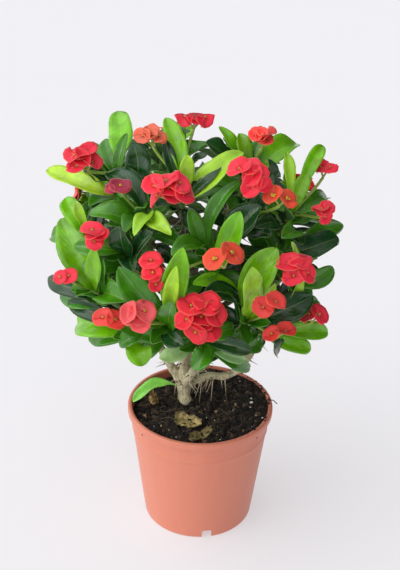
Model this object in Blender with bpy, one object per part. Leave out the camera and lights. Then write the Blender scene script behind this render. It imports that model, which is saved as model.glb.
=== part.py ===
"""Potted crown-of-thorns euphorbia (Euphorbia milii) in a 13 cm nursery pot.

The pot stands on z = 0 with its axis on Z. Sizes are in millimetres and become metres where a
mesh is finished. A woody trunk stands in the soil and forks into limbs. Each limb end carries a
leafy shoot, and the shoots carry stalked flower heads of red bracts.
"""
import math
import random

import bmesh
import bpy
from mathutils import Matrix, Vector, noise
from mathutils.bvhtree import BVHTree

MM = 0.001
GAP = 0.35                      # clearance kept between separate pieces
GOLDEN_ANGLE = math.radians(137.5)

# Pot: a 13 cm injection-moulded nursery pot.
POT_HEIGHT = 113.0
RIM_RADIUS = 65.0
BASE_RADIUS = 49.8
WALL = 1.6
LIP_HEIGHT = 6.5
LIP_OUT = 2.4
RIDGE_BELOW_RIM = 18.0
FLOOR_DISC_RADIUS = 30.0
CHANNEL_HEIGHT = 4.5
POT_SEGMENTS = 32
NOTCH_COUNT = 4
NOTCH_WIDTH = 9.0
NOTCH_HEIGHT = 8.0
NOTCH_FIRST_ANGLE = math.radians(-80.0)

# Soil: a heaped disc with a socket for the trunk.
SOIL_LEVEL = 106.0
SOIL_EDGE_LEVEL = 103.5
SOIL_BOTTOM = 7.0
SOIL_SEGMENTS = 24
SOIL_RINGS = (0.0, 14.0, 26.0, 38.0, 49.0)
SOIL_ROUGHNESS = 1.6

# Wood.
TRUNK_FOOT = Vector((-15.0, 13.0, 88.0))
TRUNK_HEAD = Vector((-15.0, 12.0, 128.0))
TRUNK_RADIUS = 6.4
LIMB_RADIUS = 4.6
TWIG_RADIUS = 3.0
LIMBS = (
    ((-26, 10, 142), (-34, 8, 160), (-58, 4, 198)),
    ((5, 10, 134), (26, 8, 138), (45, 5, 165), (60, 2, 205)),
    ((-12, 28, 150), (-10, 44, 190), (-8, 56, 235)),
    ((-15, 4, 160), (-9, 0, 215), (-6, 2, 280)),
    ((-9, -10, 148), (-2, -36, 178), (0, -52, 215)),
    ((12, 34, 150), (38, 52, 195), (50, 56, 245)),
    ((-38, 34, 150), (-56, 48, 195), (-66, 50, 245)),
)

# Shoots.
SHOOT_LENGTH = 30.0
SHOOT_RADIUS = 2.4
PEDUNCLE_RADIUS = 0.9
LEAF_THICKNESS = 1.0
LEAF_FOLD = 0.08
LEAF_STATIONS = ((0.0, 0.12), (0.45, 0.6), (0.78, 1.0))
LEAF_ARCH = 0.10

# Flower heads.
BRACT_SIDES = 5
BRACT_THICKNESS = 1.1
BRACT_CUP = 0.22
STALKLET_RADIUS = 0.8

# Loose pieces over the soil.
# Dried leaves: name, place, heading, length, width.
DRIED_CURL = 16.0
DRIED_THICKNESS = 0.9
DRIED_LEAVES = (("dried_leaf_front", (-10.5, -29.0, 106.0), -0.35, 25.0, 14.0),
                ("dried_leaf_left", (-42.0, 4.0, 106.0), 1.57, 18.0, 10.0),
                ("dried_leaf_rim", (1.0, -46.0, 106.0), 0.62, 24.0, 8.0))
SPROUT_WIDTH = 13.0

# The crown is close to a ball. Its shown side is laid out on a sheet that stands square to a
# sightline falling on the plant from the front. Across runs to the right on the sheet, up runs
# up it, and a place's lift is how far it stands toward the viewer from the crown's outer skin.
CROWN_CENTRE = Vector((-8.0, 0.0, 270.0))
CROWN_RADII = Vector((120.0, 118.0, 112.0))
CROWN_CORE = Vector((-8.0, 4.0, 205.0))
SIGHT_FALL = math.radians(26.8)
SHEET_LEAN = math.radians(1.41)
SIGHT_AIM = Vector((-2.9, 0.0, 230.7))
SIGHT_DISTANCE = 801.0
SHEET_DISTANCE = 741.0

SIGHT = Vector((0.0, math.cos(SIGHT_FALL), -math.sin(SIGHT_FALL)))
SHEET_FLAT_UP = Vector((0.0, math.sin(SIGHT_FALL), math.cos(SIGHT_FALL)))
SHEET_RIGHT = (Vector((1.0, 0.0, 0.0)) * math.cos(SHEET_LEAN)
               + SHEET_FLAT_UP * math.sin(SHEET_LEAN))
SHEET_UP = (SHEET_FLAT_UP * math.cos(SHEET_LEAN)
            - Vector((1.0, 0.0, 0.0)) * math.sin(SHEET_LEAN))
VIEWPOINT = SIGHT_AIM - SIGHT * SIGHT_DISTANCE

# Front shoots: name, tip (across, up, lift), then leaves as
# (tip across, tip up, base across, base up, width, layer). Layer 0 lies in the crown's skin.
FRONT_SHOOTS = (
    ("shoot_front_centre_right", (38, -28, -34), (
        (41, 14, 40, -20, 16, 0), (59, 30, 35, 0, 22, -1), (90, -7, 50, -28, 20, -1),
        (8, -47, 30, -36, 13, 0), (2, -6, 30, 0, 15, -1), (-6, 0, 25, 8, 12, -2),
        (60, 0, 42, -22, 9, -1))),
    ("shoot_front_centre_left", (-26, -30, -34), (
        (-22, 34, -25, -14, 18, 0), (-19, 14, -23, -16, 10, 1), (-20, -12, -26, -32, 15, 0),
        (-63, 14, -38, -18, 20, -1), (-68, -22, -37, -45, 13, -1), (-14, -47, -30, -38, 14, 0))),
    ("shoot_left_low", (-82, -5, -34), (
        (-111, 54, -83, 0, 22, 0), (-83, 30, -81, 2, 12, 0), (-74, 20, -73, -1, 7, -1),
        (-56, -14, -80, -2, 18, -1), (-122, 7, -90, -8, 14, 0), (-115, -5, -80, -20, 14, 0))),
    ("shoot_left_upper", (-90, 42, -36), (
        (-107, 70, -92, 46, 14, 0), (-97, 66, -88, 46, 8, 0), (-118, 40, -94, 38, 14, -1),
        (-112, 22, -92, 36, 15, -1))),
    ("shoot_upper_left", (-47, 56, -36), (
        (-88, 58, -52, 54, 16, 0), (-76, 90, -40, 72, 18, -1), (-52, 40, -33, 62, 11, 0),
        (-60, 42, -46, 58, 14, -1), (-24, 40, -45, 57, 12, 0))),
    ("shoot_top_left", (-65, 86, -36), (
        (-66, 133, -57, 105, 18, 0), (-57, 120, -67, 90, 8, 0), (-76, 116, -70, 93, 12, 0),
        (-120, 87, -78, 68, 16, 0), (-53, 110, -42, 82, 18, -1), (-92, 112, -74, 92, 13, -1))),
    ("shoot_top_centre", (-15, 80, -36), (
        (-27, 131, -10, 92, 13, 0), (-17, 132, -14, 112, 9, 0), (-17, 101, -14, 82, 11, 0),
        (34, 104, -2, 72, 18, 0), (18, 97, -8, 72, 14, -1), (-28, 113, -22, 88, 9, -1))),
    ("shoot_top_right", (38, 92, -36), (
        (14, 123, 26, 106, 8, 0), (32, 119, 36, 99, 11, 0), (78, 117, 48, 94, 20, 0),
        (4, 112, 26, 98, 15, -1), (52, 98, 60, 76, 10, -1), (56, 128, 46, 104, 12, -1))),
    ("shoot_right_upper", (72, 56, -36), (
        (68, 106, 70, 72, 9, 0), (97, 110, 82, 90, 11, 0), (84, 89, 74, 66, 11, 0),
        (64, 36, 84, 46, 14, 0), (109, 62, 84, 58, 12, -1), (104, 76, 82, 62, 13, -1),
        (46, 56, 66, 56, 13, -1))),
    ("shoot_centre_upper", (10, 20, -38), (
        (31, 58, 21, 25, 16, 0), (48, 62, 30, 46, 20, -1), (32, 81, 0, 58, 11, -1),
        (-22, 28, 2, 42, 13, 0), (-8, 58, -2, 38, 12, -1))),
    ("shoot_right_middle", (65, 25, -36), (
        (108, 34, 74, 24, 19, 0), (106, 14, 86, -8, 14, 0), (74, 34, 78, 14, 8, 0),
        (112, 50, 80, 34, 14, -1), (42, 22, 60, 22, 13, -1))),
    ("shoot_right_low", (60, -35, -34), (
        (104, -36, 75, -35, 14, 0), (88, -50, 66, -46, 13, 0), (84, 0, 70, -24, 10, -1),
        (60, -56, 56, -40, 12, 0), (34, -52, 52, -44, 11, -1), (100, -8, 76, -22, 14, -1))),
    ("shoot_bottom_left", (-50, -38, -34), (
        (-100, -27, -70, -30, 23, 0), (-86, -42, -62, -38, 13, -1), (-66, -48, -40, -34, 13, 0),
        (-43, -62, -53, -42, 18, 0), (-104, -12, -74, -24, 14, -1))),
    ("shoot_bottom_centre", (0, -44, -32), (
        (-8, -64, 12, -50, 15, 0), (42, -66, 20, -60, 10, 0), (36, -59, 20, -54, 10, -1),
        (40, -52, 18, -44, 12, 1), (-32, -57, -12, -52, 12, -1))),
    ("shoot_inner_left", (-58, 26, -46), (
        (-62, 46, -60, 24, 18, 0), (-40, 42, -52, 22, 16, 0), (-96, 14, -66, 16, 15, -1),
        (-100, 30, -66, 26, 14, -1), (-50, 6, -56, 22, 13, -1))),
    ("shoot_inner_right", (36, 50, -48), (
        (54, 44, 38, 48, 14, -1), (16, 48, 34, 50, 13, -1), (20, 70, 34, 52, 13, -1),
        (58, 86, 42, 60, 15, -1))),
)

# Front flower heads: name, head base (across, up, lift), facing, then bracts as
# (across, up, radius).
UP = Vector((-0.05, -0.15, 1.0))
OUT = Vector((0.0, -0.75, 0.65))
FRONT_FLOWERS = (
    ("flower_top", (-5, 126, 0), UP, ((-12, 133, 8), (-3, 137, 9), (5, 133, 8))),
    ("flower_top_left_edge", (-88, 90, 6), OUT, (
        (-98, 101, 8), (-88, 103, 8), (-96, 91, 7), (-82, 94, 7))),
    ("flower_top_left_aged", (-37, 109, 0), UP, ((-45, 115, 6), (-38, 118, 6), (-31, 115, 6))),
    ("flower_upper_left_large", (-21, 66, 8), OUT, (
        (-37, 77, 8), (-27, 81, 8), (-14, 79, 8), (-34, 68, 8), (-23, 71, 9), (-10, 71, 8))),
    ("flower_upper_left_shaded", (-61, 72, -8), OUT, ((-61, 77, 7), (-70, 74, 4))),
    ("flower_left", (-80, 34, 2), OUT, ((-84, 43, 7), (-77, 40, 6), (-82, 33, 6))),
    ("flower_top_right", (48, 107, 2), UP, ((43, 115, 6), (52, 118, 7), (50, 111, 6))),
    ("flower_upper_right", (38, 82, 6), OUT, (
        (29, 91, 8), (38, 92, 8), (46, 84, 8), (40, 77, 8), (50, 77, 6))),
    ("flower_right_orange", (62, 62, 6), OUT, ((56, 69, 7), (68, 66, 7))),
    ("flower_right_edge_high", (96, 84, 2), UP, ((93, 91, 6), (101, 91, 6))),
    ("flower_right_edge", (95, 53, 4), OUT, ((93, 59, 6), (99, 60, 6), (97, 52, 5))),
    ("flower_left_edge", (-99, 2, 0), OUT, ((-101, 7, 6), (-109, 6, 5))),
    ("flower_lower_left_coral", (-70, -30, 4), OUT, ((-76, -25, 7), (-65, -27, 7))),
    ("flower_lower_left", (-47, -29, 6), OUT, ((-55, -22, 8), (-42, -20, 8), (-46, -30, 7))),
    ("flower_centre_left", (-35, 4, -4), OUT, ((-38, 20, 7), (-37, 9, 7), (-34, -1, 5))),
    ("flower_centre_orange", (19, 14, 6), OUT, ((11, 19, 8), (26, 25, 8))),
    ("flower_right_middle", (75, 6, 6), OUT, ((68, 17, 8), (78, 19, 8), (72, 6, 7), (84, 9, 7))),
    ("flower_centre_low_large", (2, -32, 8), OUT, (
        (-8, -15, 9), (6, -13, 9), (13, -22, 8), (-12, -27, 8), (2, -26, 9), (-4, -38, 8),
        (9, -36, 8))),
    ("flower_low_right_coral", (53, -22, 4), OUT, ((48, -18, 7), (59, -13, 7))),
    ("flower_low_right_pair", (61, -41, 4), OUT, ((55, -38, 6), (67, -36, 7))),
    ("flower_right_edge_low", (88, -29, 2), OUT, ((84, -23, 7), (93, -23, 7))),
)

# Back and side shoots are spread evenly over the rest of the ball.
BALL_POINTS = 21
BACK_LIMIT = 0.30
FRONT_SPACING = 38.0
LIMB_CLEARANCE = 8.0
BACK_LEAVES = 6
BACK_LEAF_REACH = 50.0
# Back flower heads: the number of the back shoot, and how far the head stands past its tip.
BACK_HEADS = ((3, 24.0), (6, 24.0), (8, 24.0), (5, 14.0), (4, 14.0))


def vec(*numbers):
    """A vector of plain numbers."""
    return Vector(numbers)


def sheet_ray(across, up):
    """The direction from the viewpoint through a place on the sheet."""
    return (SIGHT * SHEET_DISTANCE + SHEET_RIGHT * across + SHEET_UP * up).normalized()


def on_crown(across, up, lift=0.0):
    """A place on the crown's near skin, or beside it at the skin's outline, moved by lift."""
    ray = sheet_ray(across, up)
    squeezed_ray = vec(*(r / s for r, s in zip(ray, CROWN_RADII)))
    squeezed_eye = vec(*(e / s for e, s in zip(VIEWPOINT - CROWN_CENTRE, CROWN_RADII)))
    a = squeezed_ray.length_squared
    b = squeezed_ray.dot(squeezed_eye)
    c = squeezed_eye.length_squared - 1.0
    root = max(0.0, b * b - a * c)
    return VIEWPOINT + ray * ((-b - math.sqrt(root)) / a - lift)


def outward(place):
    """The crown's outward direction at a place."""
    offset = place - CROWN_CENTRE
    return vec(*(o / (s * s) for o, s in zip(offset, CROWN_RADII))).normalized()


def bezier(points, t):
    """A point on the Bezier curve through a list of control points."""
    points = list(points)
    while len(points) > 1:
        points = [a.lerp(b, t) for a, b in zip(points, points[1:])]
    return points[0]


def smooth_route(knots, count):
    """Count points along a Catmull-Rom curve through the knots."""
    knots = [Vector(k) for k in knots]
    padded = [knots[0] * 2 - knots[1]] + knots + [knots[-1] * 2 - knots[-2]]
    spans = len(knots) - 1
    route = []
    for i in range(count):
        place = i / (count - 1) * spans
        span = min(int(place), spans - 1)
        t = place - span
        p0, p1, p2, p3 = padded[span:span + 4]
        route.append(0.5 * (p1 * 2 + (p2 - p0) * t + (p0 * 2 - p1 * 5 + p2 * 4 - p3) * t * t
                            + (p1 * 3 - p0 - p2 * 3 + p3) * t * t * t))
    return route


def tube_rings(route, radii, sides, spin=0.0):
    """Rings of points round a route, kept from twisting."""
    rings = []
    side = None
    for i, (centre, radius) in enumerate(zip(route, radii)):
        ahead = (route[min(i + 1, len(route) - 1)] - route[max(i - 1, 0)]).normalized()
        if side is None:
            side = ahead.orthogonal().normalized()
        side = (side - ahead * side.dot(ahead)).normalized()
        other = ahead.cross(side)
        rings.append([centre + (side * math.cos(spin + k * math.tau / sides)
                                + other * math.sin(spin + k * math.tau / sides)) * radius
                      for k in range(sides)])
    return rings


def leaf_path(root, base, tip, face, steps):
    """The midrib from the stem through the blade's base to its tip, arched toward its face."""
    bend = base + face * ((tip - base).length * LEAF_ARCH)
    return [bezier((root, bend, tip), t) for t in steps]


def leaf_rings(root, base, tip, face, width, grow=0.0):
    """Lens-shaped sections along a leaf, and its tip point. Grow fattens it for clearance."""
    steps = [s for s, _ in LEAF_STATIONS] + [1.0]
    path = leaf_path(root, base, tip, face, steps)
    rings = []
    for i, (_, share) in enumerate(LEAF_STATIONS):
        ahead = (path[i + 1] - path[max(i - 1, 0)]).normalized()
        side = ahead.cross(face).normalized()
        normal = side.cross(ahead)
        half = width / 2 * share + grow
        thick = LEAF_THICKNESS / 2 + grow
        rise = normal * (half * LEAF_FOLD)
        rings.append([path[i] + side * half + rise, path[i] - side * half + rise,
                      path[i] - normal * (thick * 1.5)])
    return rings, path[-1] + (path[-1] - path[-2]).normalized() * grow


def ring_polygons(rings, tip=None):
    """Vertices and polygons of a swept form, for clearance tests."""
    sides = len(rings[0])
    verts = [p for ring in rings for p in ring]
    polys = []
    for r in range(len(rings) - 1):
        for k in range(sides):
            n = (k + 1) % sides
            polys.append((r * sides + k, r * sides + n, (r + 1) * sides + n, (r + 1) * sides + k))
    polys.append(tuple(range(sides)))
    last = (len(rings) - 1) * sides
    if tip is None:
        polys.append(tuple(range(last, last + sides)))
    else:
        verts.append(tip)
        polys.extend((last + k, last + (k + 1) % sides, len(verts) - 1) for k in range(sides))
    return verts, polys


class Solid:
    """A placed form's test surface with a bounding ball."""

    def __init__(self, verts, polys, owner):
        self.tree = BVHTree.FromPolygons(verts, polys)
        low = [min(v[i] for v in verts) for i in range(3)]
        high = [max(v[i] for v in verts) for i in range(3)]
        self.centre = (Vector(low) + Vector(high)) / 2
        self.radius = (Vector(high) - Vector(low)).length / 2
        self.owner = owner

    def meets(self, other):
        if (self.centre - other.centre).length > self.radius + other.radius:
            return False
        return bool(self.tree.overlap(other.tree))


class Garden:
    """All the forms placed so far."""

    def __init__(self):
        self.solids = []

    def add(self, solid, outer=None):
        self.solids.append(solid)
        solid.outer = outer or solid

    def clear(self, solid, owner=None):
        return not any(other.owner != owner and solid.meets(other) for other in self.solids)

    def clear_of_own(self, solid, owner):
        return not any(other.owner == owner and solid.meets(other.outer)
                       for other in self.solids)


def sweep(bm, rings, tip=None):
    """Extrude a capped section from ring to ring, and draw the last one to a point if asked."""
    made = bmesh.ops.create_circle(bm, cap_ends=True, segments=len(rings[0]), radius=1.0)
    verts = made["verts"]
    face = verts[0].link_faces[0]
    order = [loop.vert for loop in face.loops]
    for vert, place in zip(order, rings[0]):
        vert.co = place
    first = face
    for ring in rings[1:]:
        made = bmesh.ops.extrude_face_region(bm, geom=[face])
        if face is not first:
            bmesh.ops.delete(bm, geom=[face], context="FACES_ONLY")
        face = next(g for g in made["geom"] if isinstance(g, bmesh.types.BMFace))
        for loop, place in zip(face.loops, ring):
            loop.vert.co = place
    if tip is not None:
        poked = bmesh.ops.poke(bm, faces=[face])
        poked["verts"][0].co = tip


def finish(name, bm, material, smooth=True, helper=False):
    """Turn a bmesh in millimetres into a named object in metres."""
    bmesh.ops.scale(bm, vec=(MM, MM, MM), verts=bm.verts)
    mesh = bpy.data.meshes.new(name)
    bm.to_mesh(mesh)
    bm.free()
    if smooth:
        mesh.shade_smooth()
    mesh.materials.append(material)
    obj = bpy.data.objects.new(name, mesh)
    bpy.context.scene.collection.objects.link(obj)
    if helper:
        obj.hide_render = True
        obj.display_type = "WIRE"
    return obj


def swept_object(name, rings, material, tip=None, helper=False):
    """A swept form as an object of its own."""
    bm = bmesh.new()
    sweep(bm, rings, tip)
    bmesh.ops.recalc_face_normals(bm, faces=bm.faces)
    return finish(name, bm, material, helper=helper)


def joined(body, others, operation="UNION", solver="MANIFOLD"):
    """Join helper objects to a body, or cut them from it.

    The manifold solver joins the many small forms that meet at a shoot, where the exact one
    leaves open edges. Both sides of each join are closed.
    """
    group = bpy.data.collections.new(body.name + "_forms")
    bpy.context.scene.collection.children.link(group)
    for other in others:
        bpy.context.scene.collection.objects.unlink(other)
        group.objects.link(other)
    boolean = body.modifiers.new("join", "BOOLEAN")
    boolean.operation = operation
    boolean.operand_type = "COLLECTION"
    boolean.collection = group
    boolean.solver = solver
    return body


def plastic(name, colour, roughness):
    """A non-metal Principled material."""
    material = bpy.data.materials.new(name)
    material.use_nodes = True
    shader = material.node_tree.nodes["Principled BSDF"]
    shader.inputs["Base Color"].default_value = (*colour, 1.0)
    shader.inputs["Roughness"].default_value = roughness
    shader.inputs["Metallic"].default_value = 0.0
    return material


def pot_profile():
    """The pot's turned section, from the middle of its underside round to its inner floor."""
    under_lip = POT_HEIGHT - LIP_HEIGHT
    neck = RIM_RADIUS - LIP_OUT
    ridge = POT_HEIGHT - RIDGE_BELOW_RIM

    def wall(z):
        return BASE_RADIUS + (neck - BASE_RADIUS) * z / under_lip

    skirt_inner = BASE_RADIUS - WALL
    return (
        (0.0, 0.0), (FLOOR_DISC_RADIUS, 0.0), (FLOOR_DISC_RADIUS + WALL, CHANNEL_HEIGHT),
        (skirt_inner, CHANNEL_HEIGHT), (skirt_inner, 0.0), (BASE_RADIUS, 0.0),
        (wall(ridge - 1.0), ridge - 1.0), (wall(ridge) + 0.6, ridge), (wall(ridge + 1.0), ridge + 1.0),
        (neck, under_lip), (RIM_RADIUS - 0.4, under_lip + 0.4), (RIM_RADIUS, under_lip + 1.2),
        (RIM_RADIUS, POT_HEIGHT - 1.2), (RIM_RADIUS - 1.0, POT_HEIGHT),
        (RIM_RADIUS - 3.0, POT_HEIGHT), (neck - WALL, POT_HEIGHT - 3.0),
        (wall(CHANNEL_HEIGHT) - WALL, CHANNEL_HEIGHT + WALL),
        (FLOOR_DISC_RADIUS - 1.0, CHANNEL_HEIGHT + WALL), (FLOOR_DISC_RADIUS - 2.0, WALL),
        (0.0, WALL),
    )


def turned(profile, segments):
    """Spin a section of (radius, height) points about Z and merge it at the axis."""
    bm = bmesh.new()
    verts = [bm.verts.new((r, 0.0, z)) for r, z in profile]
    edges = [bm.edges.new(pair) for pair in zip(verts, verts[1:])]
    bmesh.ops.spin(bm, geom=verts + edges, cent=(0, 0, 0), axis=(0, 0, 1), angle=math.tau,
                   steps=segments, use_merge=True)
    bmesh.ops.remove_doubles(bm, verts=bm.verts, dist=0.01)
    bmesh.ops.recalc_face_normals(bm, faces=bm.faces)
    return bm


def make_pot(material):
    """The pot with drainage notches through its skirt and into the channel above."""
    pot = finish("pot", turned(pot_profile(), POT_SEGMENTS), material)
    cutters = []
    for i in range(NOTCH_COUNT):
        angle = NOTCH_FIRST_ANGLE + i * math.tau / NOTCH_COUNT
        bm = bmesh.new()
        bmesh.ops.create_cube(bm, size=1.0)
        bmesh.ops.scale(bm, vec=(10.0, NOTCH_WIDTH, NOTCH_HEIGHT + 2.0), verts=bm.verts)
        corners = [e for e in bm.edges
                   if abs(e.verts[0].co.x - e.verts[1].co.x) > 1 and e.verts[0].co.z > 0]
        bmesh.ops.bevel(bm, geom=corners, offset=2.0, segments=2, profile=0.5, affect="EDGES",
                        material=-1)
        bmesh.ops.translate(bm, vec=(BASE_RADIUS - 1.0, 0.0, NOTCH_HEIGHT / 2 - 1.0),
                            verts=bm.verts)
        bmesh.ops.rotate(bm, matrix=Matrix.Rotation(angle, 3, "Z"), verts=bm.verts)
        cutters.append(finish(f"notch_cutter_{i}", bm, material, helper=True))
    return joined(pot, cutters, "DIFFERENCE", "EXACT")


def soil_height(x, y):
    """The soil's height: heaped in the middle and on the right, rough in between."""
    reach = min(1.0, math.hypot(x, y) / 58.0)
    heap = SOIL_LEVEL + 2.5 * (1 - reach * reach) + (SOIL_EDGE_LEVEL - SOIL_LEVEL) * reach ** 3
    lean = 3.0 * max(0.0, x / 58.0) * reach
    bumps = noise.noise(vec(x / 14.0, y / 14.0, 0.3)) * SOIL_ROUGHNESS
    return heap + lean + bumps


def make_soil(material):
    """The soil body, with a bumpy top and a round socket for the trunk's foot."""
    inner_top = RIM_RADIUS - LIP_OUT - WALL - 1.3
    inner_low = BASE_RADIUS - WALL - 0.3
    low = CHANNEL_HEIGHT + WALL + GAP
    profile = [(r, SOIL_LEVEL) for r in SOIL_RINGS]
    profile += [(inner_top - 1.4, SOIL_EDGE_LEVEL), (inner_top - 1.8, SOIL_EDGE_LEVEL - 6.0),
                (inner_low, low), (0.0, low)]
    bm = turned(profile, SOIL_SEGMENTS)
    for vert in bm.verts:
        if vert.co.z > SOIL_EDGE_LEVEL - 1.0:
            vert.co.z = soil_height(vert.co.x, vert.co.y)
    surface = BVHTree.FromBMesh(bm)
    soil = finish("soil", bm, material)
    bm = bmesh.new()
    bmesh.ops.create_cone(bm, cap_ends=True, segments=12, radius1=TRUNK_RADIUS + 1.7 + GAP,
                          radius2=TRUNK_RADIUS + 1.7 + GAP, depth=40.0)
    bmesh.ops.translate(bm, vec=TRUNK_FOOT + vec(0, 0, 20.0 - GAP), verts=bm.verts)
    socket = finish("trunk_socket_cutter", bm, material, helper=True)
    joined(soil, [socket], "DIFFERENCE", "EXACT")
    return surface


def limb_route(knots, count=7):
    """A limb's smooth route from the trunk's head."""
    return smooth_route([TRUNK_HEAD - vec(0, 0, 6)] + [Vector(k) for k in knots], count)


def twig_start(foot):
    """The limb point that best carries a shoot whose foot is given."""
    best = None
    for knots in LIMBS:
        for place in limb_route(knots, 16)[6:]:
            rise = foot.z - place.z
            cost = (foot - place).length + max(0.0, 12.0 - rise) * 3.0
            if best is None or cost < best[0]:
                best = (cost, place)
    return best[1]


def shoot_axis(tip):
    """A shoot's foot point and direction, for its tip."""
    away = (tip - CROWN_CORE).normalized()
    away = (away + vec(0, 0, 0.35)).normalized()
    return tip - away * SHOOT_LENGTH, away


def stem_rings(foot, away):
    """The green stem of a shoot."""
    route = [foot + away * GAP / 2, foot + away * SHOOT_LENGTH]
    return tube_rings(route, (SHOOT_RADIUS, SHOOT_RADIUS * 0.55), 5)


def leaf_roots(foot, away, leaves):
    """Points along a shoot's axis for its leaves: evenly apart, in the order of their bases."""
    heights = [(on_crown(ba, bu, -14.0) - foot).dot(away) for _, _, ba, bu, _, _ in leaves]
    order = sorted(range(len(leaves)), key=lambda i: heights[i])
    step = (SHOOT_LENGTH - 6.0) / max(1, len(leaves) - 1)
    roots = [None] * len(leaves)
    for rank, i in enumerate(order):
        roots[i] = foot + away * (4.0 + rank * step)
    return roots


def place_leaf(garden, owner, root, base, tip, face, width):
    """Shift a leaf a little until it clears its neighbours, and return its form or None."""
    length = (tip - base).length
    side = (tip - base).cross(face).normalized()
    trials = [(0, 0, 1.0)]
    for reach in (4, 8, 12, 16, 20):
        trials += [(-reach, 0, 1.0), (reach * 0.5, 0, 1.0), (-reach, reach * 0.6, 0.95),
                   (-reach, -reach * 0.6, 0.95), (0, reach * 0.6, 0.95), (0, -reach * 0.6, 0.95)]
    trials += [(-8, 0, 0.8), (0, 6, 0.8), (0, -6, 0.8), (-16, 0, 0.75), (-10, 8, 0.7)]
    for deep, across, share in trials:
        move = face * deep + side * across
        new_tip = base + (tip - base) * share + move
        new_base = base + move * 0.4
        if (new_tip - new_base).length < 0.5 * length:
            continue
        fat, point = leaf_rings(root, new_base, new_tip, face, width * share, GAP)
        verts, polys = ring_polygons(fat, point)
        if not garden.clear(Solid(verts, polys, owner), owner):
            continue
        outer_verts, outer_polys = ring_polygons(fat[1:], point)
        if not garden.clear_of_own(Solid(outer_verts, outer_polys, owner), owner):
            continue
        rings, point = leaf_rings(root, new_base, new_tip, face, width * share)
        garden.add(Solid(*ring_polygons(rings, point), owner),
                   Solid(*ring_polygons(rings[1:], point), owner))
        return rings, point
    return None


def leaf_face(base, tip):
    """The way a leaf's upper side looks: up, outward and a little toward the light."""
    ahead = (tip - base).normalized()
    wish = vec(0, 0, 0.8) + outward(tip) * 0.9 - SIGHT * 0.35
    face = wish - ahead * wish.dot(ahead)
    if face.length < 0.15:
        face = vec(0, 0, 1.0) - ahead * ahead.z
    return face.normalized()


def rosette(foot, away, count, rng, reach):
    """Leaves of a shoot by rule: a spiral, small at the tip and long lower down."""
    side = away.orthogonal().normalized()
    other = away.cross(side)
    start = rng.uniform(0, math.tau)
    leaves = []
    for i in range(count):
        share = i / max(1, count - 1)
        angle = start + i * GOLDEN_ANGLE
        spread = side * math.cos(angle) + other * math.sin(angle)
        root = foot + away * (SHOOT_LENGTH * (0.97 - 0.72 * share))
        lean = math.radians(38 + 38 * share + rng.uniform(-6, 6))
        heading = away * math.cos(lean) + spread * math.sin(lean)
        heading = (heading + vec(0, 0, 0.12)).normalized()
        length = reach * (0.62 + 0.38 * share) * rng.uniform(0.86, 1.12)
        tip = root + heading * length - vec(0, 0, length * 0.10)
        base = root + heading * (length * 0.32)
        leaves.append((root, base, tip, length * rng.uniform(0.33, 0.42)))
    return leaves


def ball_points(count):
    """Evenly spread directions on a ball, top first."""
    points = []
    for i in range(count):
        z = 1 - (i + 0.5) / count * 1.72
        r = math.sqrt(max(0.0, 1 - z * z))
        points.append(vec(r * math.cos(i * GOLDEN_ANGLE), r * math.sin(i * GOLDEN_ANGLE), z))
    return points


def crowds_a_limb(tip):
    """Whether a shoot with this tip would run into a limb."""
    foot, away = shoot_axis(tip)
    stem = [foot + away * (SHOOT_LENGTH * k / 4) for k in range(5)]
    return any((place - point).length < LIMB_CLEARANCE
               for knots in LIMBS for place in limb_route(knots, 16) for point in stem)


def back_shoots():
    """Tips for the shoots on the sides and back."""
    tips = []
    front_tips = [on_crown(*tip) for _, tip, _ in FRONT_SHOOTS]
    for direction in ball_points(BALL_POINTS):
        tip = CROWN_CENTRE + vec(*(d * s * 0.74 for d, s in zip(direction, CROWN_RADII)))
        if direction.dot(-SIGHT) > BACK_LIMIT:
            continue
        if min((tip - other).length for other in front_tips) < FRONT_SPACING:
            continue
        if crowds_a_limb(tip):
            continue
        tips.append(tip)
    return tips


def bract_rings(start, centre, facing, radius):
    """A stalked, cupped bract disc: rings at the stalk's foot, at its neck and at the rim."""
    side = facing.orthogonal().normalized()
    rings = []
    for place, axis, reach in (
            (start, (centre - start).normalized(), STALKLET_RADIUS),
            (centre - facing * BRACT_THICKNESS, facing, STALKLET_RADIUS * 1.3),
            (centre + facing * (radius * BRACT_CUP), facing, radius)):
        side = (side - axis * side.dot(axis)).normalized()
        other = axis.cross(side)
        rings.append([place + (side * math.cos(k * math.tau / BRACT_SIDES)
                               + other * math.sin(k * math.tau / BRACT_SIDES)) * reach
                      for k in range(BRACT_SIDES)])
    return rings


def head_forms(base, away, bracts, facing):
    """The solid forms of one flower head: a receptacle, stalklets and cupped bract discs."""
    forms = [(tube_rings([base + away * GAP / 2, base + away * 2.5], (1.5, 1.7), 5), None)]
    for place, radius in bracts:
        place = place + away * max(0.0, 3.5 - (place - base).dot(away))
        look = (facing + (place - base).normalized() * 0.5).normalized()
        rings = bract_rings(base + away * 1.2, place, look, radius)
        forms.append((rings, place + look * (0.2 * BRACT_THICKNESS)))
    return forms


def add_forms(garden, forms, owner):
    """Record forms as placed."""
    for rings, tip in forms:
        garden.add(Solid(*ring_polygons(rings, tip), owner))


def front_flower_plan():
    """Each front head: name, base, direction, bracts as (place, radius) and facing."""
    plan = []
    for name, head, facing, bracts in FRONT_FLOWERS:
        base = on_crown(*head)
        lift = head[2] + 5.0
        placed = [(on_crown(a, u, lift), r) for a, u, r in bracts]
        plan.append((name, base, placed, facing.normalized()))
    return plan


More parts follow.
